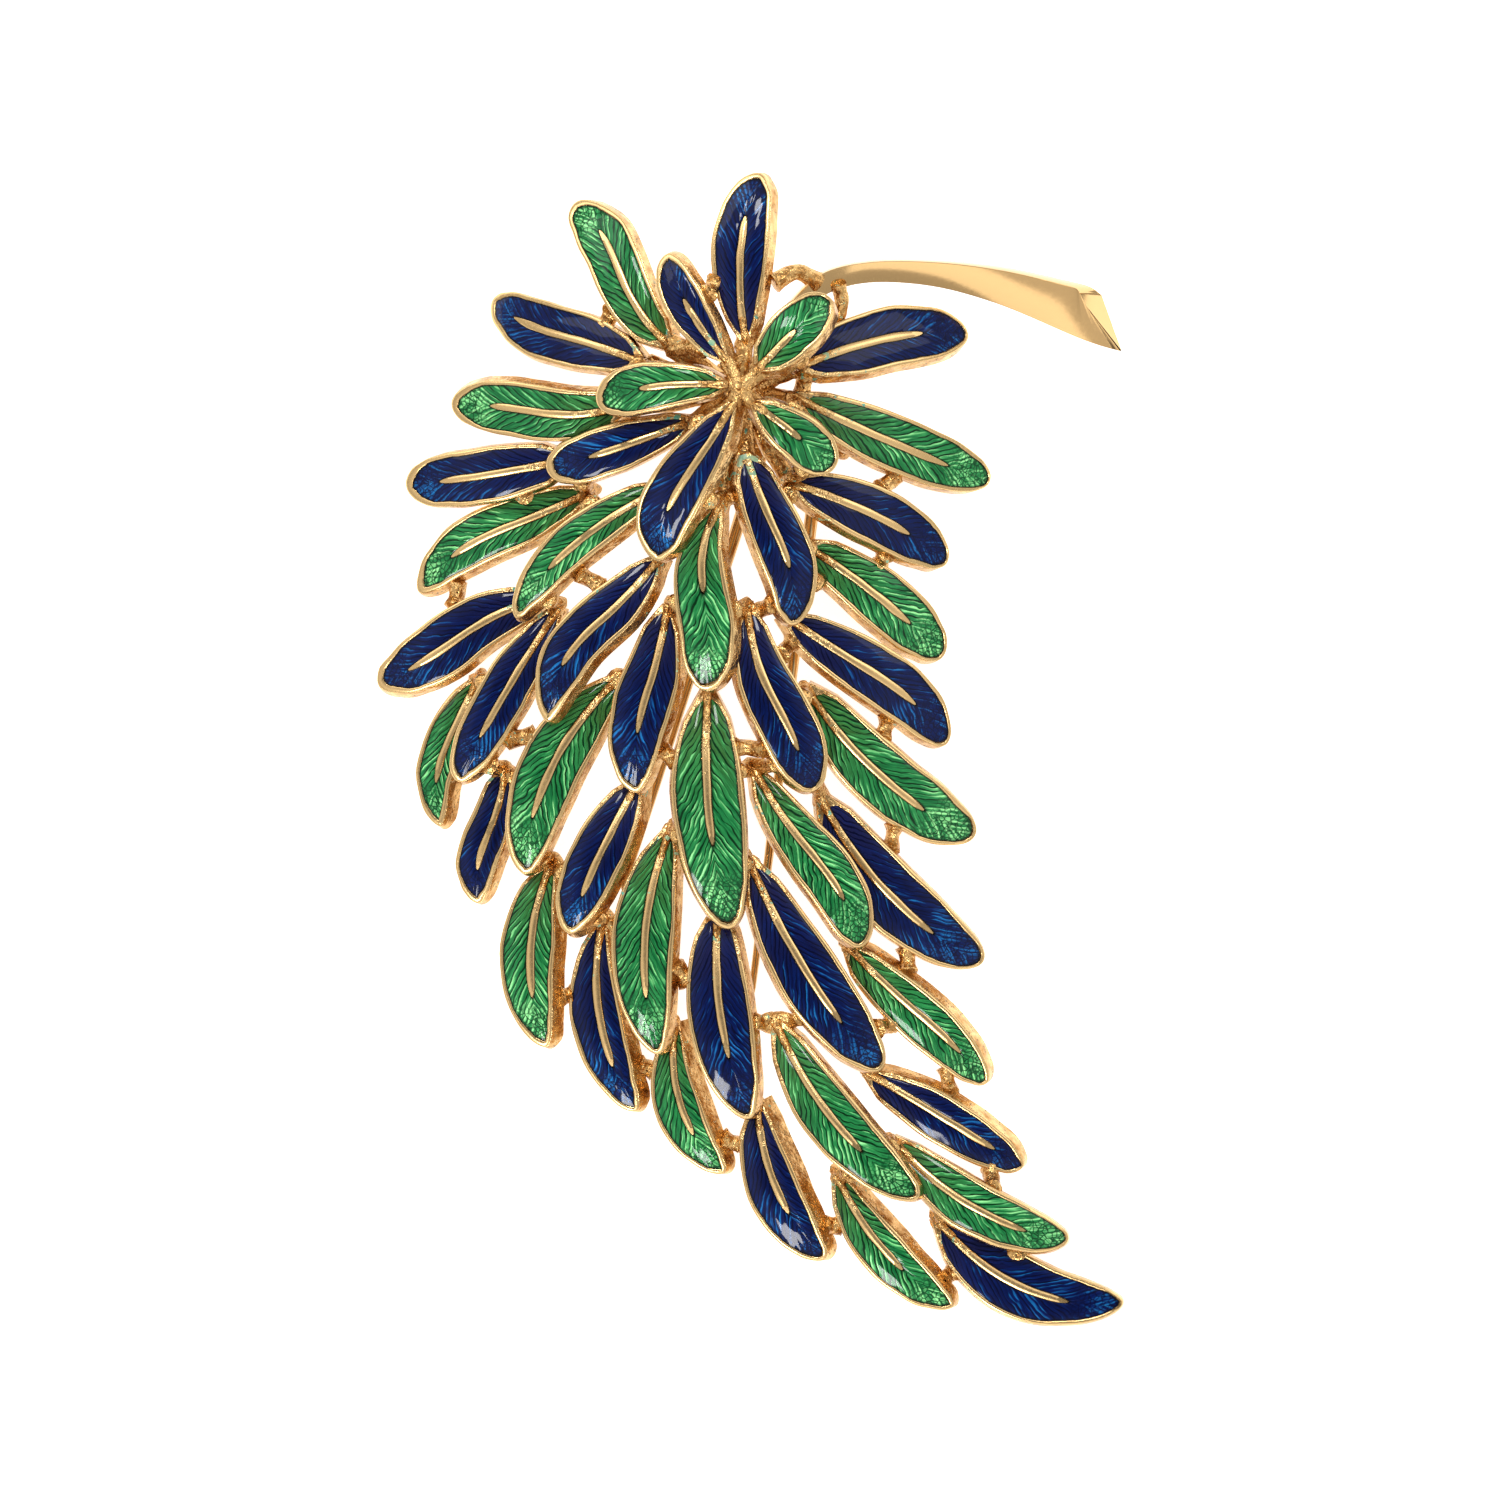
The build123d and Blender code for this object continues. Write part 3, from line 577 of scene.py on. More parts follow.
castGrainAndShade = Values(
    cloud=(1.1, 4.0, 0.6),  # noises: patches per mm, detail, roughness
    grain=(4.5, 3.0, 0.6),
    lumps=(1.5, 2.0, 0.5),
    pitPatches=(1.7, 1.0),
    pits=4.2,  # per mm
    pitEdge=(0.05, 0.35),
    pitPatchEdge=(0.44, 0.58),
    pitDark=0.85,
    pitColour=(0.05, 0.018, 0.004, 1),
    cloudPull=1.1,  # how far the cloud shifts the edge between polish with painted light and rough metal with painted shade
    polishEdge=(0.42, 0.72),
    deepEdge=(0.32, 0.60),
    grainMiddle=0.45,
    roughnessSpread=0.16,
    grainHeight=0.3,
    lumpHeight=1.8,
    pitHeight=0.6,
    polishedLumps=0.15,
)


def makeGrainAndShadeGroup():
    # cast gold: polished, with painted light, where the mask is 1; pitted, grained and in painted shade
    # where it is 0
    w, given, wanted = makeGroup(
        "castGrainAndShade", {"Vector": None, "Polish": 1.0, "Bright": (1, 1, 1, 1), "Deep": (0, 0, 0, 1),
                      "Pits": 0.5, "Gloss": 0.26}, ("Color", "Roughness", "Height"))
    look = castGrainAndShade
    vector = given["Vector"]
    cloud = w.noise(vector, *look.cloud)
    grain = w.noise(vector, *look.grain)
    pit = w.ramp(w.cells(vector, look.pits, "F1"), *look.pitEdge, 1.0, 0.0)
    pit = w.times(pit, w.ramp(w.noise(vector, *look.pitPatches), *look.pitPatchEdge))
    spread = w.plus(given["Polish"], w.times(w.minus(cloud, 0.5), look.cloudPull))
    mask = w.ramp(spread, *look.polishEdge)
    rough = w.minus(1.0, mask)
    pitted = w.times(pit, w.times(given["Pits"], rough))
    # the deep colour, in cloudy patches, is painted shade on walls and links; the bright colour is the
    # painted light of the tops
    dark = w.mix(w.ramp(cloud, *look.deepEdge), given["Deep"], given["Bright"])
    tone = w.mix(mask, dark, given["Bright"])
    w.put(wanted["Color"], w.mix(w.times(pitted, look.pitDark), tone, look.pitColour))
    uneven = w.times(w.minus(grain, look.grainMiddle), look.roughnessSpread)
    w.put(wanted["Roughness"], w.plus(given["Gloss"], uneven))
    lumps = w.noise(vector, *look.lumps)
    relief = w.plus(w.times(grain, look.grainHeight), w.times(lumps, look.lumpHeight))
    relief = w.times(w.minus(relief, w.times(pit, look.pitHeight)), rough)
    w.put(wanted["Height"], w.plus(relief, w.times(lumps, look.polishedLumps)))
    return w.tree


enamelSpecks = Values(
    blots=(2.3, 3.0, 0.5),
    patches=(0.35, 1.0, 0.5),
    tint=0.9,
    patchEdge=(0.4, 0.65),
    tintEdge=(0.4, 0.6),
    level=0.80,  # of the noise, above which a speck lies
    soft=0.025,
    colours=((0.10, 0.33, 0.24, 1), (0.36, 0.50, 0.28, 1)),
)


def makeSpeckGroup():
    # small drops of stray enamel on the metal
    w, given, wanted = makeGroup("enamelSpecks", {"Vector": None, "Amount": 0.2}, ("Mask", "Color"))
    look = enamelSpecks
    vector = given["Vector"]
    blots = w.noise(vector, *look.blots)
    patches = w.noise(vector, *look.patches)
    level = w.minus(look.level, w.times(given["Amount"], w.ramp(patches, *look.patchEdge)))
    w.put(wanted["Mask"], w.ramp(w.minus(blots, level), 0.0, look.soft))
    w.put(wanted["Color"], w.mix(w.ramp(w.noise(vector, look.tint), *look.tintEdge), *look.colours))
    return w.tree


barbEngravingAndShading = Values(
    bow=0.9,  # power that bends the strokes
    narrow=0.35,  # how fast a stroke's noise changes along it
    strays=((0.8, 1.8), (2.2, 0.28)),  # the hand's waver: waves per mm, and how far
    weight=2.3,  # waves per mm, of the cuts' width
    glow=1.9,
    streaks=(3.2, 2.0, 0.55),
    weightEdge=(0.36, 0.62),
    cutWidth=(-0.06, 0.30),
    cutSoft=0.18,
    hammer=3.2,  # dents per mm, beyond the rib's point
    patchEdge=(0.74, 0.84),  # along the leaf
    patchCover=0.75,
    dentEdge=(0.01, 0.12),
    dentTone=(-0.1, 0.2),
    # glintEdge and glowEdge place the painted highlight beside each cut
    glintEdge=(0.62, 0.22),
    glowEdge=(0.46, 0.60),
    glintShare=0.75,
    streakEdge=(0.36, 0.62),
    streakShare=0.5,
    wallEdge=(0.02, 0.10),  # of the painted shadow along the walls, as shares of the lane
)


def makeBarbAndShadingGroup():
    # the strokes engraved in the metal under the enamel: from the rib out and on to the tip,
    # and a hammered patch beyond the rib's point; a painted glint lies beside each cut,
    # and a painted shadow along the walls
    w, given, wanted = makeGroup(
        "barbEngravingAndShading", {"Barb": None, "Slope": 0.9, "Spacing": 0.3, "Lane": 0.5, "Along": 0.5},
        ("ToneAndGlint", "Line", "WallShadow"))
    look = barbEngravingAndShading
    x, y, z = w.add("ShaderNodeSeparateXYZ", Vector=given["Barb"]).outputs
    bowed = w.times(w.math("POWER", w.math("ABSOLUTE", y), look.bow), given["Slope"])
    lead = w.minus(x, bowed)
    # strokes lie along lead
    drawn = w.add("ShaderNodeCombineXYZ", X=lead, Y=w.times(y, look.narrow), Z=z).outputs[0]
    stray = w.plus(*(w.times(w.noise(given["Barb"], scale, 1.0, 0.5), size) for scale, size in look.strays))
    weight = w.noise(drawn, look.weight, 1.0, 0.5)
    glow = w.noise(drawn, look.glow, 1.0, 0.5)
    phase = w.plus(w.math("DIVIDE", lead, given["Spacing"]), stray)
    nearCut = w.times(w.math("PINGPONG", phase, 0.5), 2.0)
    line = w.minus(nearCut, w.ramp(weight, *look.weightEdge, *look.cutWidth))
    line = w.ramp(line, 0.0, look.cutSoft)
    patch = w.ramp(given["Along"], *look.patchEdge)
    dent = w.ramp(w.cells(given["Barb"], look.hammer, "DISTANCE_TO_EDGE"), *look.dentEdge)
    plain = w.minus(1.0, w.times(patch, look.patchCover))
    line = w.math("MAXIMUM", line, w.minus(1.0, plain))
    w.put(wanted["Line"], w.times(line, w.math("MAXIMUM", dent, plain)))
    streaks = w.ramp(w.noise(drawn, *look.streaks), *look.streakEdge)
    # glint: a painted highlight on one side of each cut, where the groove would catch the light
    glint = w.times(w.ramp(w.math("FRACT", phase), *look.glintEdge), w.ramp(glow, *look.glowEdge))
    tone = w.plus(w.times(streaks, look.streakShare), w.times(glint, look.glintShare))
    dented = w.times(patch, w.ramp(dent, 0, 1, *look.dentTone))
    w.put(wanted["ToneAndGlint"], w.math("ADD", tone, dented, clamp=True))
    # painted shadow: dark where the enamel meets the rib and the rim
    fromWall = w.math("MINIMUM", given["Lane"], w.minus(1.0, given["Lane"]))
    w.put(wanted["WallShadow"], w.ramp(fromWall, *look.wallEdge))
    return w.tree


grainAndShadeGroup = makeGrainAndShadeGroup()
speckGroup = makeSpeckGroup()
barbAndShadingGroup = makeBarbAndShadingGroup()


def newMaterial(name):
    material = bpy.data.materials.new(name)
    material.use_nodes = True
    material.node_tree.nodes.clear()
    wiring = Wiring(material.node_tree)
    output = wiring.add("ShaderNodeOutputMaterial")
    shader = wiring.add("ShaderNodeBsdfPrincipled")
    wiring.put(output.inputs["Surface"], shader.outputs[0])
    return material, wiring, shader


def inMillimetres(wiring):
    where = wiring.add("ShaderNodeTexCoord")
    scaled = wiring.add("ShaderNodeMapping", {"vector_type": "POINT"}, Vector=where.outputs["Object"])
    scaled.inputs["Scale"].default_value = (1 / mm, 1 / mm, 1 / mm)
    return scaled.outputs[0]


goldBump = 0.12  # mm
baseDullEdge = (0.02, 0.40)  # along a leaf, from the base's darker, more pitted metal to the full polish
speckEdge = (0.12, 0.55)  # along a leaf, from the most specks to none


def makeGold(name, finish):
    material, w, shader = newMaterial(name)
    place = inMillimetres(w)
    if finish.usesMask:
        polish = w.kept("polish")
        along = w.kept("along")
        mask = w.minus(polish, w.ramp(along, *baseDullEdge, finish.baseWear, 0.0))
        stray = w.ramp(along, *speckEdge, finish.specks, 0.0)
    else:
        mask = finish.polish
        stray = finish.specks
    grain = w.use(grainAndShadeGroup, Vector=place, Polish=mask, Bright=finish.bright, Deep=finish.deep,
                  Pits=finish.pits, Gloss=finish.gloss)
    specks = w.use(speckGroup, Vector=place, Amount=stray)
    # the group's colour holds the grain and pits as well as the painted light and shade
    w.put(shader.inputs["Base Color"], w.mix(specks["Mask"], grain["Color"], specks["Color"]))
    w.put(shader.inputs["Roughness"], grain["Roughness"])
    w.put(shader.inputs["Metallic"], w.minus(1.0, specks["Mask"]))
    w.bump(shader, finish.bump, goldBump, grain["Height"])
    return material


# bright is the colour of the lit, polished tops; deep is painted shade on the walls and, with a low mask, on
# the links
leafGold = makeGold("leafGold", Values(
    usesMask=True, baseWear=0.55, bright=(0.72, 0.48, 0.213, 1), deep=(0.36, 0.17, 0.045, 1),
    pits=1.0, specks=0.29, bump=0.55, gloss=0.25))
branchGold = makeGold("branchGold", Values(
    usesMask=False, polish=0.36, bright=(0.72, 0.445, 0.17, 1), deep=(0.36, 0.16, 0.04, 1),
    pits=0.9, specks=0.17, bump=1.0, gloss=0.22))
polishedGold = makeGold("polishedGold", Values(
    usesMask=False, polish=1.1, bright=(0.63, 0.405, 0.178, 1), deep=(0.5, 0.26, 0.09, 1),
    pits=0.3, specks=0.0, bump=0.15, gloss=0.12))

enamelLook = Values(
    cloud=(0.5, 2.0),
    cloudEdge=(0.3, 0.7),
    brightEdge=(0.05, 0.7),  # along the leaf, from the base's light to the full one
    groundEdge=(0.04, 0.5),
    midEdge=(0.0, 0.55),
    lightEdge=(0.33, 0.80),
    roughness=(0.5, 0.32),  # where dark, where light
    toneHeight=0.6,
    lineHeight=0.4,
    bump=0.14,  # mm
    shader={"Metallic": 0.4, "Specular IOR Level": 0.0, "Coat Weight": 0.4, "Coat Roughness": 0.05,
            "Coat IOR": 1.5},
)


def makeEnamel(name, tones):
    material, w, shader = newMaterial(name)
    look = enamelLook
    along = w.kept("along")
    engravedAndShaded = w.use(barbAndShadingGroup, Barb=w.kept("barb", "Vector"), Lane=w.kept("lane"), Along=along,
                     Slope=tones.slope, Spacing=tones.spacing)
    cloud = w.noise(inMillimetres(w), *look.cloud)
    # level carries the streaks and the painted glints into the mid and light tones
    level = w.times(engravedAndShaded["ToneAndGlint"], w.ramp(cloud, *look.cloudEdge, tones.least, 1.0))
    level = w.times(level, w.ramp(along, *look.brightEdge, tones.baseLight, 1.0))
    ground = w.mix(w.ramp(along, *look.groundEdge), tones.base, tones.ground)
    lit = w.mix(w.ramp(level, *look.midEdge), ground, tones.mid)
    lit = w.mix(w.ramp(level, *look.lightEdge), lit, tones.light)
    cut = w.mix(engravedAndShaded["Line"], tones.cut, lit)
    # near the walls the colour goes to edge, the painted shadow
    w.put(shader.inputs["Base Color"], w.mix(engravedAndShaded["WallShadow"], tones.edge, cut))
    w.put(shader.inputs["Roughness"], w.ramp(level, 0, 1, *look.roughness))
    for socket, value in look.shader.items():
        shader.inputs[socket].default_value = value
    relief = w.plus(w.times(engravedAndShaded["ToneAndGlint"], look.toneHeight), w.times(engravedAndShaded["Line"], look.lineHeight))
    w.bump(shader, tones.bump, look.bump, relief)
    return material


# in each set of tones, edge is the colour of the painted shadow along the walls
enamels = {
    # mid and light take the painted glints beside the cuts as well as the streaks
    "green": makeEnamel("greenEnamel", Values(
        base=(0.060, 0.110, 0.022, 1), ground=(0.005, 0.120, 0.032, 1), mid=(0.040, 0.33, 0.092, 1),
        light=(0.34, 0.90, 0.34, 1), cut=(0.001, 0.026, 0.007, 1), edge=(0.001, 0.015, 0.005, 1),
        least=0.45, baseLight=0.50, slope=1.9, spacing=0.62, bump=0.7)),
    "blue": makeEnamel("blueEnamel", Values(
        base=(0.012, 0.012, 0.050, 1), ground=(0.001, 0.004, 0.040, 1), mid=(0.002, 0.014, 0.11, 1),
        light=(0.010, 0.15, 0.42, 1), cut=(0.001, 0.002, 0.020, 1), edge=(0.0005, 0.001, 0.007, 1),
        least=0.25, baseLight=0.35, slope=1.9, spacing=0.56, bump=0.5)),
}
print("materials made")


# The 46 leaves: a gold cup and its enamel each

mergeWithin = Values(cup=0.002, fine=0.0005, eyes=0.0002)  # mm


def makeLeaves():
    cupTemplate = makeCupTemplate()
    enamelTemplate = makeEnamelTemplate()
    for curve in curves:
        colour = curve.leaf.colour
        cup = copyOf(cupTemplate, f"leafCup_{colour}_{curve.number:02d}")
        layMesh(cup, curve)
        closeUp(cup, mergeWithin.cup)
        smooth(cup)
        putOn(cup, leafGold, "gold", "leaf_frame")
        fill = copyOf(enamelTemplate, f"leafEnamel_{colour}_{curve.number:02d}")
        layMesh(fill, curve, enamelFill.crown)
        closeUp(fill, mergeWithin.fine)
        smooth(fill, 60)
        putOn(fill, enamels[colour], f"enamel_{colour}", f"enamel_{colour}_{curve.number:02d}")
    for template in (cupTemplate, enamelTemplate):
        bpy.data.objects.remove(template)


makeLeaves()
print("leaves made")


# Rough cast gold between the leaves

twig = Values(
    radius=0.52,  # mm, at the waist of a link
    flare=1.5,  # at its ends
    sides=12,
    rings=10,
    lumps=0.21,  # of the radius
    lumpSize=0.75,  # mm
    lumpLayers=((1.4, 1), (0.5, 2.3)),  # of noise: how strong and how fine
    neck=0.9,  # mm, of solid metal at a leaf's base
    wallFrom=0.7,  # how far across a leaf its wall starts
    wallDepth=0.75,  # how deep in a wall a link ends, as a share of leafDepth
    dip=0.10,  # how far a link sags, as a share of its length
    startHeight=1.05,  # of the radius
    baseEnds=(0.1, 0.4),  # how near a leaf's base and middle a link starts that carries the leaf
    baseWidth=0.80,  # of the leaf's own half width, where it does
    stalk=0.29,  # mm, of the rib where it runs on over the leaf's base
    # where a stalk runs on the leaf: share of its length, depth in mm, and how thick
    stalkRun=((0.16, 0.18, 0.8), (0.05, 0.05, 1.0), (-0.02, 0.12, 1.2)),
    stalkEnd=(1.5, 1.3),  # how wide and how high, at its far end
    clearance=0.08,  # mm above the table
    endRound=0.6,  # of the last ring
)

# How far apart the noise of one rod and the next lies
seedSteps = {"link": 3.7, "stalk": 1.9, "branch": 5.3, "root": 2.9, "ridge": 4.1,
             "wire": 4.4, "arm": 6.1}

# Which leaf, how far along and across it, and the same on the leaf that it holds on to
links = [
    (1, 0.35, 0.9, 2, 0.55, -0.9), (7, 0.03, 0, 2, 0.20, 0.7), (8, 0.04, 0, 4, 0.65, -0.8),
    (8, 0.30, -0.9, 7, 0.35, 0.9), (9, 0.03, 0, 3, 0.36, -0.8), (9, 0.05, -0.5, 11, 0.04, 0.5),
    (10, 0.04, 0, 4, 0.80, 0.5), (11, 0.03, 0, 5, 0.35, 0.8), (12, 0.03, 0, 13, 0.88, 0),
    (12, 0.30, 0.9, 14, 0.30, -0.9), (13, 0.04, 0, 6, 0.20, -0.8), (14, 0.04, 0, 13, 0.80, 0.85),
    (14, 0.06, 0.5, 15, 0.36, -0.9), (14, 0.80, 0.9, 20, 0.45, -0.9), (15, 0.04, 0, 6, 0.60, -0.45),
    (15, 0.62, 0.9, 22, 0.30, -0.9), (17, 0.03, 0, 5, 0.75, -0.8), (17, 0.06, -0.5, 16, 0.30, 0.9),
    (17, 0.48, 0.9, 11, 0.57, -0.9), (18, 0.03, 0, 16, 0.61, 0.85), (18, 0.20, -0.9, 16, 0.80, 0.9),
    (18, 0.40, 0.9, 17, 0.66, -0.9), (19, 0.03, 0, 6, 0.55, 0.9), (19, 0.03, 0, 16, 0.20, -0.9),
    (20, 0.03, 0, 15, 0.85, 0.3), (21, 0.03, 0, 15, 0.82, 0.8), (21, 0.70, 0.9, 28, 0.42, -0.9),
    (22, 0.03, 0, 6, 0.92, 0), (23, 0.04, 0.3, 19, 0.55, -0.85), (23, 0.75, 0.9, 30, 0.30, -0.9),
    (24, 0.04, 0, 21, 0.52, -0.85), (25, 0.03, 0, 19, 0.57, 0.85), (25, 0.05, 0.5, 16, 0.85, -0.85),
    (26, 0.03, 0, 16, 0.92, 0), (26, 0.12, -0.9, 25, 0.30, 0.9), (26, 0.70, -0.9, 27, 0.40, 0.9),
    (27, 0.03, 0, 25, 0.53, 0.85), (28, 0.03, 0, 23, 0.44, -0.85), (29, 0.04, 0, 28, 0.63, -0.85),
    (29, 0.05, -0.3, 21, 0.85, 0.8), (30, 0.02, 0, 19, 0.92, 0), (30, 0.25, 0.9, 25, 0.72, -0.9),
    (31, 0.03, 0, 25, 0.80, -0.85), (31, 0.03, 0, 30, 0.35, 0.85), (32, 0.03, 0, 25, 0.92, 0.3),
    (32, 0.38, 0.9, 27, 0.70, -0.9), (33, 0.03, 0, 23, 0.92, 0), (34, 0.04, 0, 33, 0.68, -0.85),
    (34, 0.04, 0, 28, 0.90, 0.7), (34, 0.73, 0.9, 36, 0.37, -0.9), (35, 0.03, 0, 30, 0.60, -0.85),
    (35, 0.60, 0.9, 37, 0.35, -0.9), (36, 0.03, 0, 33, 0.85, 0.85), (36, 0.03, 0, 35, 0.45, -0.9),
    (36, 0.77, 0.9, 40, 0.25, -0.9), (37, 0.03, 0, 30, 0.92, 0), (38, 0.03, 0, 30, 0.73, 0.85),
    (38, 0.85, 0.9, 39, 0.45, -0.9), (39, 0.03, 0, 31, 0.94, -0.2), (39, 0.33, 0.9, 32, 0.72, -0.9),
    (39, 0.80, -0.9, 42, 0.45, 0.9), (40, 0.04, 0, 35, 0.86, 0.6), (40, 0.78, 0.9, 43, 0.20, -0.9),
    (41, 0.03, 0, 38, 0.65, -0.85), (41, 0.03, 0, 37, 0.55, 0.85), (42, 0.03, 0, 38, 0.94, 0),
    (42, 0.85, -0.9, 45, 0.55, 0.9), (43, 0.04, 0, 37, 0.95, 0), (43, 0.82, 0.9, 44, 0.25, -0.9),
    (44, 0.04, 0, 41, 0.72, -0.8), (44, 0.85, 0.9, 46, 0.20, -0.9), (45, 0.03, 0, 41, 0.75, 0.8),
    (45, 0.80, -0.9, 46, 0.45, 0.9), (46, 0.03, 0, 45, 0.41, -0.8),
]

crown = Values(
    knob=(0.487, 0.813, 1.02),
    knobSize=(0.8, 0.8, 0.5),
    knobLumps=0.4,
    hub=(0.485, 0.811, 0.55),
    hubSize=(1.9, 1.9, 0.8),
    hubLumps=0.3,
    lumpLayers=((1, 1.6), (0.5, 4.5), (0.25, 11)),
    post=(1.1, 0.9),  # radius at hub and knob
    postLumps=0.2,
    carried=(1, 2, 3, 4, 5, 6),
    rootFrom=0.06,  # along a carried leaf
    rootWidths=(0.9, 0.55, 0.6),  # the first as a share of the leaf's own half width
    rootHeight=0.36,
    rootLumps=0.22,
    ridgeOver=0.3,  # above the knob's middle
    ridgeLumps=0.25,
    branched=(7, 8, 9, 10, 11, 13, 16, 17, 19),
    branchFrom=0.03,
    branchStart=(0.95, 0.55),  # share of the leaf's own half width, and height
    branchRadius=0.62,  # at the hub
    branchFlare=1.1,
)


def holdOn(number, along, across):
    # a place in a leaf's wall, in its neck or on its underside, and the leaf's half width there
    curve = curves[number - 1]
    x = along * curve.length
    inWall = abs(across) > twig.wallFrom or x < twig.neck
    drop = (twig.wallDepth if inWall else 1.0) * spray.leafDepth
    half = curve.halfWidth(along)
    return curve.place(x, curve.middle(along) + across * half, curve.backHeight(x, drop)), half


def makeRodTemplate(sides, rings):
    # a straight closed rod of radius 1 and length 1, with rings along it
    bpy.ops.mesh.primitive_circle_add(vertices=sides, radius=1, fill_type="NGON")
    piece = named("rodTemplate")
    startEdit(piece)
    for _ in range(rings):
        extrudeUp(1 / rings)
    faceOut()
    endEdit()
    return piece


def splineAt(rows, share):
    # the four rows round a place on a smooth run, their weights, and how far it is from the second
    spans = len(rows) - 1
    k = min(spans - 1, int(share * spans))
    t = share * spans - k
    near = [rows[max(0, k - 1)], rows[k], rows[k + 1], rows[min(spans, k + 2)]]
    weights = (0.5 * (-t ** 3 + 2 * t ** 2 - t), 0.5 * (3 * t ** 3 - 5 * t ** 2 + 2),
               0.5 * (-3 * t ** 3 + 4 * t ** 2 + t), 0.5 * (t ** 3 - t ** 2))
    return near, weights, t


def rodAt(stops, share):
    # a stop is a place with a radius, or with a width and a height
    near, weights, t = splineAt(stops, share)
    place = sum((stop[0] * weight for stop, weight in zip(near, weights)), Vector((0, 0, 0)))
    width, height = (near[1][k] + (near[2][k] - near[1][k]) * t for k in (1, -1))
    return place, width, height


def roughness(spot, seed, layers):
    # layers of noise, each with how strong and how fine it is
    total = 0
    for axis, (size, fineness) in enumerate(layers):
        shift = Vector((0, 0, 0))
        shift[axis] = seed
        total += size * noise.noise(spot * fineness + shift)
    return total


def aboveTable(place):
    # to metres in the frame, and flattened where it would sink below the table
    spot = inFrame(place)
    spot.z = max(spot.z, twig.clearance * mm)
    return spot


def layRod(template, name, stops, lumps=0, seed=0, flare=1.0):
    # a copy of a straight rod, bent along its stops, in mm, and as uneven as cast twigs are
    piece = copyOf(template, name)
    step = 0.01  # share of the rod over which its direction is taken
    ends = 0.001
    upright = 0.1
    for vertex in piece.data.vertices:
        share = min(1, max(0, vertex.co.z))
        place, width, height = rodAt(stops, share)
        ahead = rodAt(stops, min(1, share + step))[0] - rodAt(stops, max(0, share - step))[0]
        ahead.normalize()
        aside = Vector((0, 0, 1)).cross(ahead)
        aside = aside.normalized() if aside.length > upright else Vector((1, 0, 0))
        off = aside * vertex.co.x * width + ahead.cross(aside) * vertex.co.y * height
        swell = 1 + (flare - 1) * abs(2 * share - 1) ** 2
        if share < ends or share > 1 - ends:
            swell *= twig.endRound
        if lumps:
            swell *= 1 + lumps * roughness((place + off) / twig.lumpSize, seed, twig.lumpLayers)
        vertex.co = aboveTable(place + off * swell)
    piece.data.update()
    return piece


def joinPieces(template, pieces, name):
    # the template that the pieces were copied from goes
    bpy.data.objects.remove(template)
    only(pieces[0])
    for piece in pieces:
        piece.select_set(True)
    bpy.ops.object.join()
    return named(name)


def finishCast(piece, angle=60):
    smooth(piece, angle)
    putOn(piece, branchGold, "gold", "leaf_frame")


def stalkStops(number, far):
    # from a leaf's rib over its base to a place beyond
    curve = curves[number - 1]
    stops = []
    for share, sunk, swell in twig.stalkRun:
        x = share * curve.length
        place = curve.place(x, curve.middle(share), curve.backHeight(x, sunk))
        stops.append((place, twig.stalk * swell, twig.stalk * swell))
    return stops + [(far, *(twig.stalk * swell for swell in twig.stalkEnd))]


def makeLinks():
    template = makeRodTemplate(twig.sides, twig.rings)
    rods = []
    thick = twig.radius
    for number, (leafA, alongA, acrossA, leafB, alongB, acrossB) in enumerate(links):
        start, room = holdOn(leafA, alongA, acrossA)
        end, _ = holdOn(leafB, alongB, acrossB)
        carries = alongA < twig.baseEnds[0] and abs(acrossA) < twig.baseEnds[1]
        first = room * twig.baseWidth if carries else thick
        middle = (start + end) / 2 - Vector((0, 0, twig.dip * (end - start).length))
        stops = [(start, first, thick * twig.startHeight), (middle, (first + thick) / 2, thick),
                 (end, thick)]
        rods.append(layRod(template, "link", stops, twig.lumps, number * seedSteps["link"], twig.flare))
        if carries:
            stops = stalkStops(leafA, (start + end * 2) / 3)
            rods.append(layRod(template, "stalk", stops, twig.lumps, number * seedSteps["stalk"]))
    for number in crown.branched:
        start, room = holdOn(number, crown.branchFrom, 0)
        width, height = crown.branchStart
        stops = [(start, room * width, height), (inSpray(*crown.hub), crown.branchRadius)]
        seed = number * seedSteps["branch"]
        rods.append(layRod(template, "link", stops, twig.lumps, seed, crown.branchFlare))
    finishCast(joinPieces(template, rods, "castTwigs"))


def makeLump(name, place, size, lumps, seed):
    bpy.ops.mesh.primitive_ico_sphere_add(subdivisions=5, radius=1)
    piece = named(name)
    for vertex in piece.data.vertices:
        spot = vertex.co.copy()
        reach = 1 + lumps * roughness(spot, seed, crown.lumpLayers)
        vertex.co = inFrame(place + spot * Vector(size) * reach)
    piece.data.update()
    return piece


def makeCrown():
    knobAt = inSpray(*crown.knob)
    hubAt = inSpray(*crown.hub)
    parts = [makeLump("crownKnob", knobAt, crown.knobSize, crown.knobLumps, 3),
             makeLump("crownHub", hubAt, crown.hubSize, crown.hubLumps, 9)]
    template = makeRodTemplate(16, 14)
    stops = list(zip((hubAt, knobAt), crown.post))
    parts.append(layRod(template, "crownPost", stops, crown.postLumps, 1))
    for number in crown.carried:
        start, room = holdOn(number, crown.rootFrom, 0)
        first, second, third = crown.rootWidths
        high = crown.rootHeight
        middle = (start + knobAt) / 2
        stops = [(start, room * first, high), (middle, second, high), (knobAt, third, high)]
        seed = number * seedSteps["root"]
        parts.append(layRod(template, "crownRoot", stops, crown.rootLumps, seed))
        stops = stalkStops(number, knobAt + Vector((0, 0, crown.ridgeOver)))
        seed = number * seedSteps["ridge"]
        parts.append(layRod(template, "crownRidge", stops, crown.ridgeLumps, seed))
    finishCast(joinPieces(template, parts, "crownHeart"), 70)


# The stem that rises from the crown, and the wires that steady it

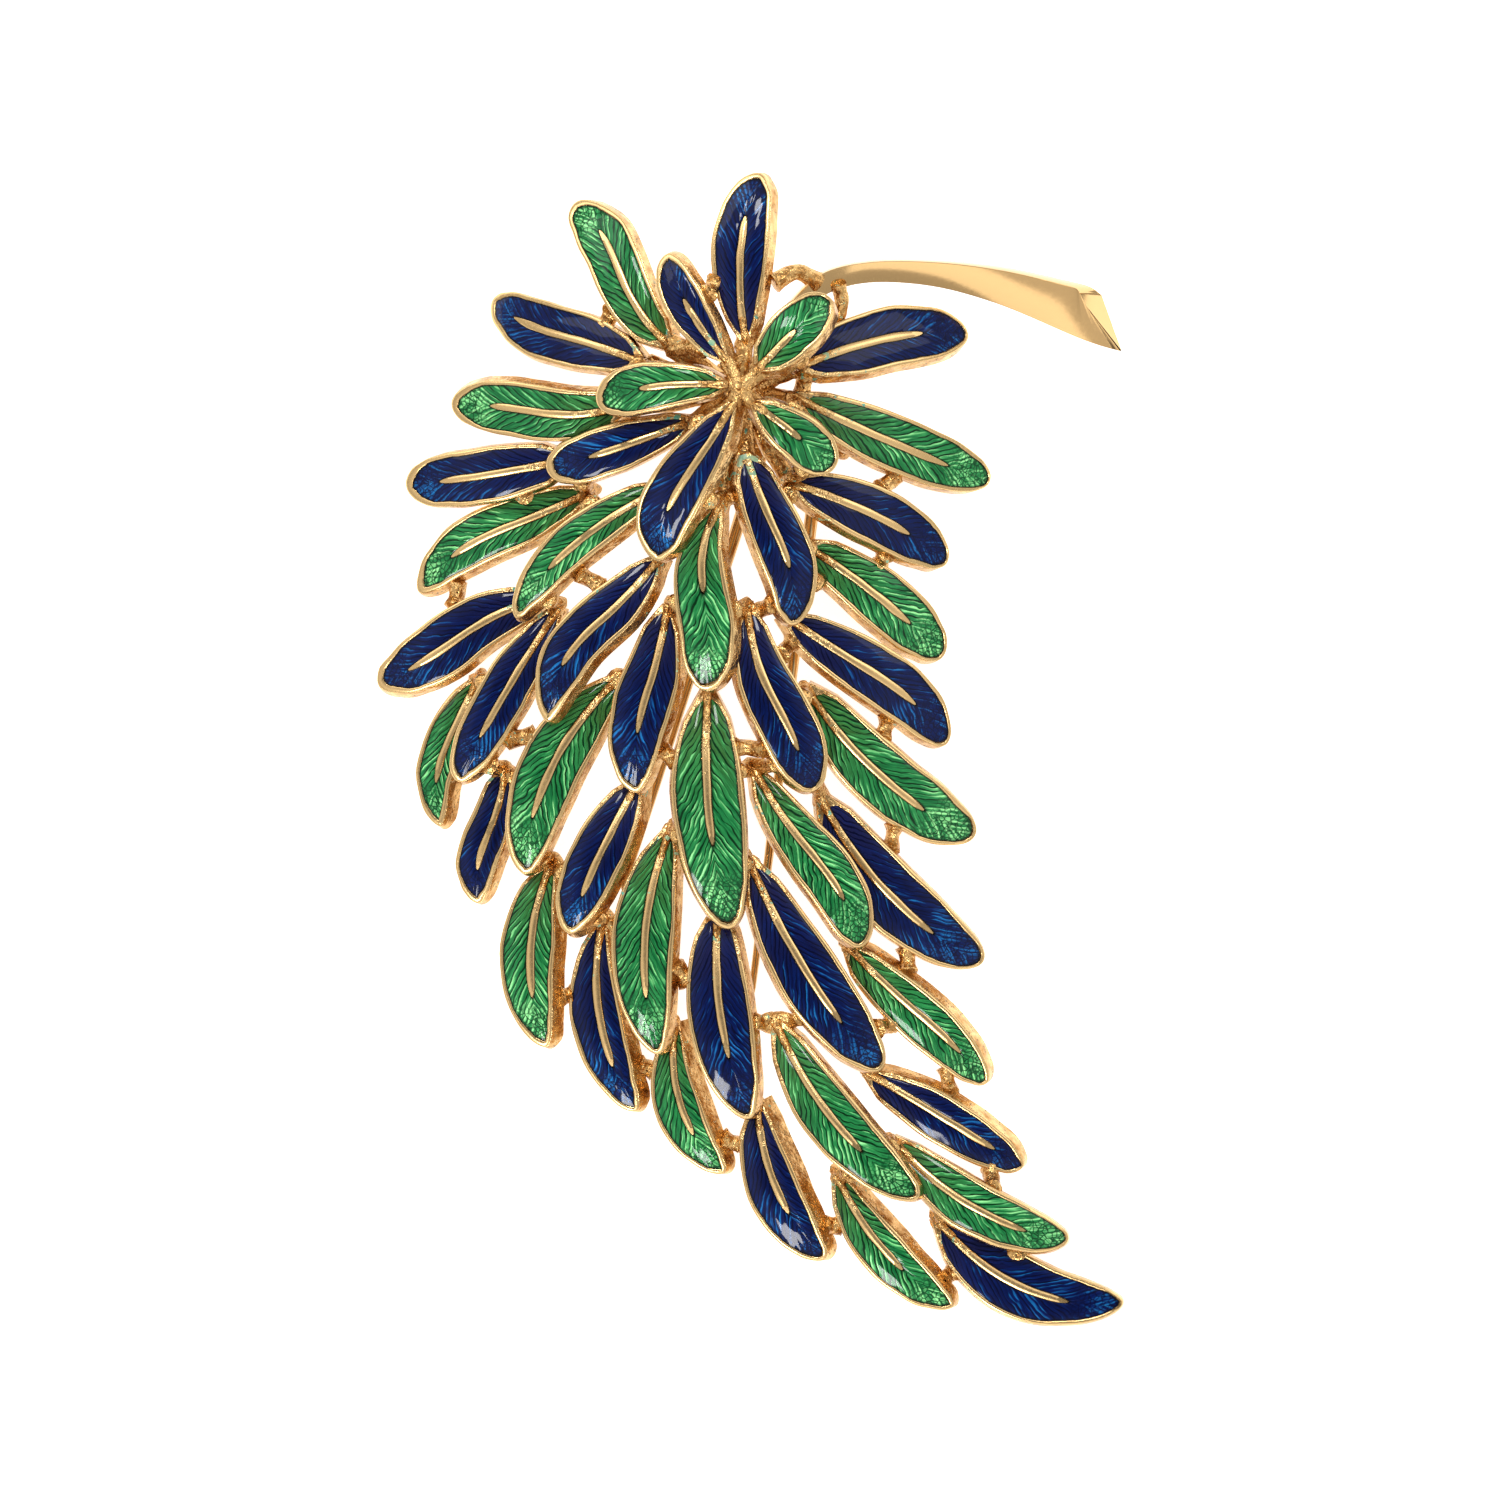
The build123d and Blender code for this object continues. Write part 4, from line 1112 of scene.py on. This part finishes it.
stem = Values(
    endWidth=4.0,
    depth=1.5,
    ridge=0.76,  # where the ridge runs, as a share of the half width
    edge=0.13,
    cut=(-2.1, 0.5),  # how far back the ridge stops, for the slanted end
    cutFrom=0.76,  # share of the stem's length
    rings=60,
    sections=[  # place as shares, share of the width at its end, turn in degrees
        (0.550, 0.876, 0.70, 0.28, 45),
        (0.597, 0.904, 0.66, 0.38, 28),
        (0.659, 0.915, 0.59, 0.38, 5),
        (0.746, 0.914, 0.48, 0.45, -5),
        (0.834, 0.904, 0.35, 0.62, -13),
        (0.921, 0.887, 0.23, 0.82, -18),
        (0.987, 0.871, 0.14, 1.00, 20),
    ],
    wires=[  # radius and places
        (0.55, [(0.531, 0.904, 0.84), (0.562, 0.914, 0.79), (0.592, 0.905, 0.71)]),
        (0.45, [(0.618, 0.905, 0.66), (0.622, 0.882, 0.60), (0.596, 0.852, 0.50)]),
    ],
    wireLumps=0.12,
    wireFlare=1.3,
    root=(0.7, 0.6),  # radius at hub and stem
    rootShift=(0.5, 0, 0.5),  # mm, into the stem
    rootLumps=0.25,
)


def stemPoint(share, which):
    # a corner of the stem's section at a share of its length, in mm
    near, weights, _ = splineAt(stem.sections, share)
    x, y, z, width, turn = (sum(w * section[n] for w, section in zip(weights, near)) for n in range(5))
    half = width * stem.endWidth / 2
    height = stem.depth * (1 + width) / 2
    left = Vector((-sin(radians(turn)), cos(radians(turn)), 0))
    aside, above = ((-half, 0), (half, 0), (half * stem.ridge, height))[which]
    place = inSpray(x, y, z) + left * aside + Vector((0, 0, above))
    if above and share > stem.cutFrom:
        place += Vector((*stem.cut, 0)) * ((share - stem.cutFrom) / (1 - stem.cutFrom)) ** 2
    return place


def makeStem():
    piece = makeRodTemplate(3, stem.rings)
    piece.name = piece.data.name = "stem"

    def key(vertex):
        return round(vertex.co.x, 3), round(vertex.co.y, 3)

    # the template's three corners, in the order of the section's
    corners = sorted({key(vertex) for vertex in piece.data.vertices})
    for vertex in piece.data.vertices:
        vertex.co = inFrame(stemPoint(min(1, max(0, vertex.co.z)), corners.index(key(vertex))))
    piece.data.update()
    closeUp(piece, mergeWithin.fine)
    startEdit(piece)
    pick(piece, "EDGE", sharperThan(25))
    bpy.ops.mesh.bevel(offset=stem.edge * mm, segments=3, clamp_overlap=True)
    faceOut()
    endEdit()
    smooth(piece, 35)
    putOn(piece, polishedGold, "gold", "leaf_frame")


def makeStemWires():
    template = makeRodTemplate(14, 30)
    rods = []
    for number, (radius, places) in enumerate(stem.wires):
        stops = [(inSpray(*place), radius) for place in places]
        seed = number * seedSteps["wire"]
        rods.append(layRod(template, "stemWire", stops, stem.wireLumps, seed, stem.wireFlare))
    end = inSpray(*stem.sections[0][:3]) + Vector(stem.rootShift)
    stops = list(zip((inSpray(*crown.hub), end), stem.root))
    rods.append(layRod(template, "stemRoot", stops, stem.rootLumps, 8))
    finishCast(joinPieces(template, rods, "stemWires"))


def hingePlace(x):
    return inSpray(x, clip.hingeY, clip.hingeZ)


def makeEyes():
    parts = []
    template = makeRodTemplate(12, 12)
    ring = (clip.eyeRadius + clip.hole) / 2
    wire = (clip.eyeRadius - clip.hole) / 2
    for number, x in enumerate(clip.eyes):
        bpy.ops.mesh.primitive_torus_add(major_segments=32, minor_segments=12,
                                         major_radius=ring, minor_radius=wire)
        eye = named("clipEye")
        for vertex in eye.data.vertices:
            a, b, c = vertex.co
            vertex.co = inFrame(hingePlace(x) + Vector((c * clip.eyeWidth / (2 * wire), a, b)))
        eye.data.update()
        onEye = hingePlace(x) + Vector((0, 0, ring))
        stops = [(onEye, clip.armFoot), (inSpray(*crown.hub), clip.armTop)]
        seed = number * seedSteps["arm"]
        parts += [eye, layRod(template, "clipArm", stops, clip.armLumps, seed)]
    joined = joinPieces(template, parts, "clipEyes")
    closeUp(joined, mergeWithin.eyes)
    finishCast(joined, 50)


def makeFork():
    template = makeRodTemplate(24, 24)
    stub = Vector((clip.stub, 0, 0))
    start, end = (hingePlace(x) for x in clip.eyes)
    stops = [(start - stub, clip.pinRadius), (end + stub, clip.pinRadius)]
    parts = [layRod(template, "clipPin", stops)]
    for x, point in clip.prongs:
        stops = [(hingePlace(x), clip.prongRoot), (inSpray(*point), clip.prongPoint)]
        parts.append(layRod(template, "clipProng", stops))
    fork = joinPieces(template, parts, "clipFork")
    startEdit(fork)
    pick(fork, "EDGE", sharperThan(60))
    bpy.ops.mesh.bevel(offset=clip.roundEnd * mm, segments=3)
    faceOut()
    endEdit()
    smooth(fork)
    putOn(fork, polishedGold, "polished_gold", "clip_fork")


makeLinks()
makeCrown()
print("twigs and crown made")
makeStem()
makeStemWires()
makeEyes()
makeFork()
print("stem and clip made")


# Camera, floor and light

view = Values(distance=1.6, frame=1500, mmPerPixel=0.06516, sensor=36.0, far=10)

light = Values(
    floor=0.85,
    sky=0.8,
    # height above the table as a cosine, and how bright the sky is there
    skyBands=[(0.0, 0.75), (0.45, 0.85), (0.70, 1.15), (0.84, 1.2), (0.93, 0.6), (0.98, 0.25),
              (1.0, 0.20)],
    # name, size in m, power, place
    lamps=[("keyLight", (0.60, 0.40), 1.6, (-0.50, 0.60, 0.62)),
           ("windowLight", (0.40, 0.50), 1.0, (0.55, 0.35, 0.60)),
           ("topLight", (0.14, 0.24), 2.6, (-0.06, 0.48, 0.87)),
           ("sideLight", (0.14, 0.24), 2.6, (-0.26, -0.52, 0.81)),
           ("fillLight", (0.70, 0.30), 0.7, (0.15, -0.75, 0.45))],
)

table = Values(size=3, drop=0.2, colour=(0.9, 0.9, 0.9, 1), roughness=0.9)  # m, mm below the brooch


def makeCamera():
    lens = bpy.data.cameras.new("camera")
    camera = bpy.data.objects.new("camera", lens)
    bpy.context.scene.collection.objects.link(camera)
    lens.sensor_width = view.sensor
    lens.lens = view.sensor * view.distance / (view.frame * view.mmPerPixel * mm)
    lens.clip_end = view.far
    camera.location = (0, 0, view.distance)
    bpy.context.scene.camera = camera


def makeFloor():
    # a pale table lit from below, as for a catalogue
    bpy.ops.mesh.primitive_plane_add(size=table.size, location=(0, 0, -table.drop * mm))
    floor = named("floor")
    material, _, shader = newMaterial("paleFloor")
    for socket, value in {"Base Color": table.colour, "Roughness": table.roughness,
                          "Emission Color": (1, 1, 1, 1), "Emission Strength": light.floor}.items():
        shader.inputs[socket].default_value = value
    floor.data.materials.append(material)


def makeSky():
    # bright all round and dark overhead, so that the enamel keeps its depth
    world = bpy.data.worlds.new("studio")
    world.use_nodes = True
    w = Wiring(world.node_tree)
    where = w.add("ShaderNodeTexCoord")
    parts = w.add("ShaderNodeSeparateXYZ", Vector=where.outputs["Generated"])
    bands = w.add("ShaderNodeValToRGB", Fac=parts.outputs[2])
    elements = bands.color_ramp.elements
    while len(elements) < len(light.skyBands):
        elements.new(0.5)
    for element, (place, value) in zip(elements, light.skyBands):
        element.position = place
        element.color = (value, value, value, 1)
    sky = world.node_tree.nodes["Background"]
    w.put(sky.inputs["Color"], bands.outputs[0])
    sky.inputs["Strength"].default_value = light.sky
    bpy.context.scene.world = world


def makeLamp(name, size, power, place):
    data = bpy.data.lights.new(name, "AREA")
    data.shape = "RECTANGLE"
    data.size, data.size_y = size
    data.energy = power
    lamp = bpy.data.objects.new(name, data)
    lamp.location = place
    lamp.rotation_euler = (-Vector(place)).to_track_quat("-Z", "Y").to_euler()
    bpy.context.scene.collection.objects.link(lamp)


makeCamera()
makeFloor()
makeSky()
for lamp in light.lamps:
    makeLamp(*lamp)
bpy.context.scene.view_settings.view_transform = "Standard"
print("stage made")
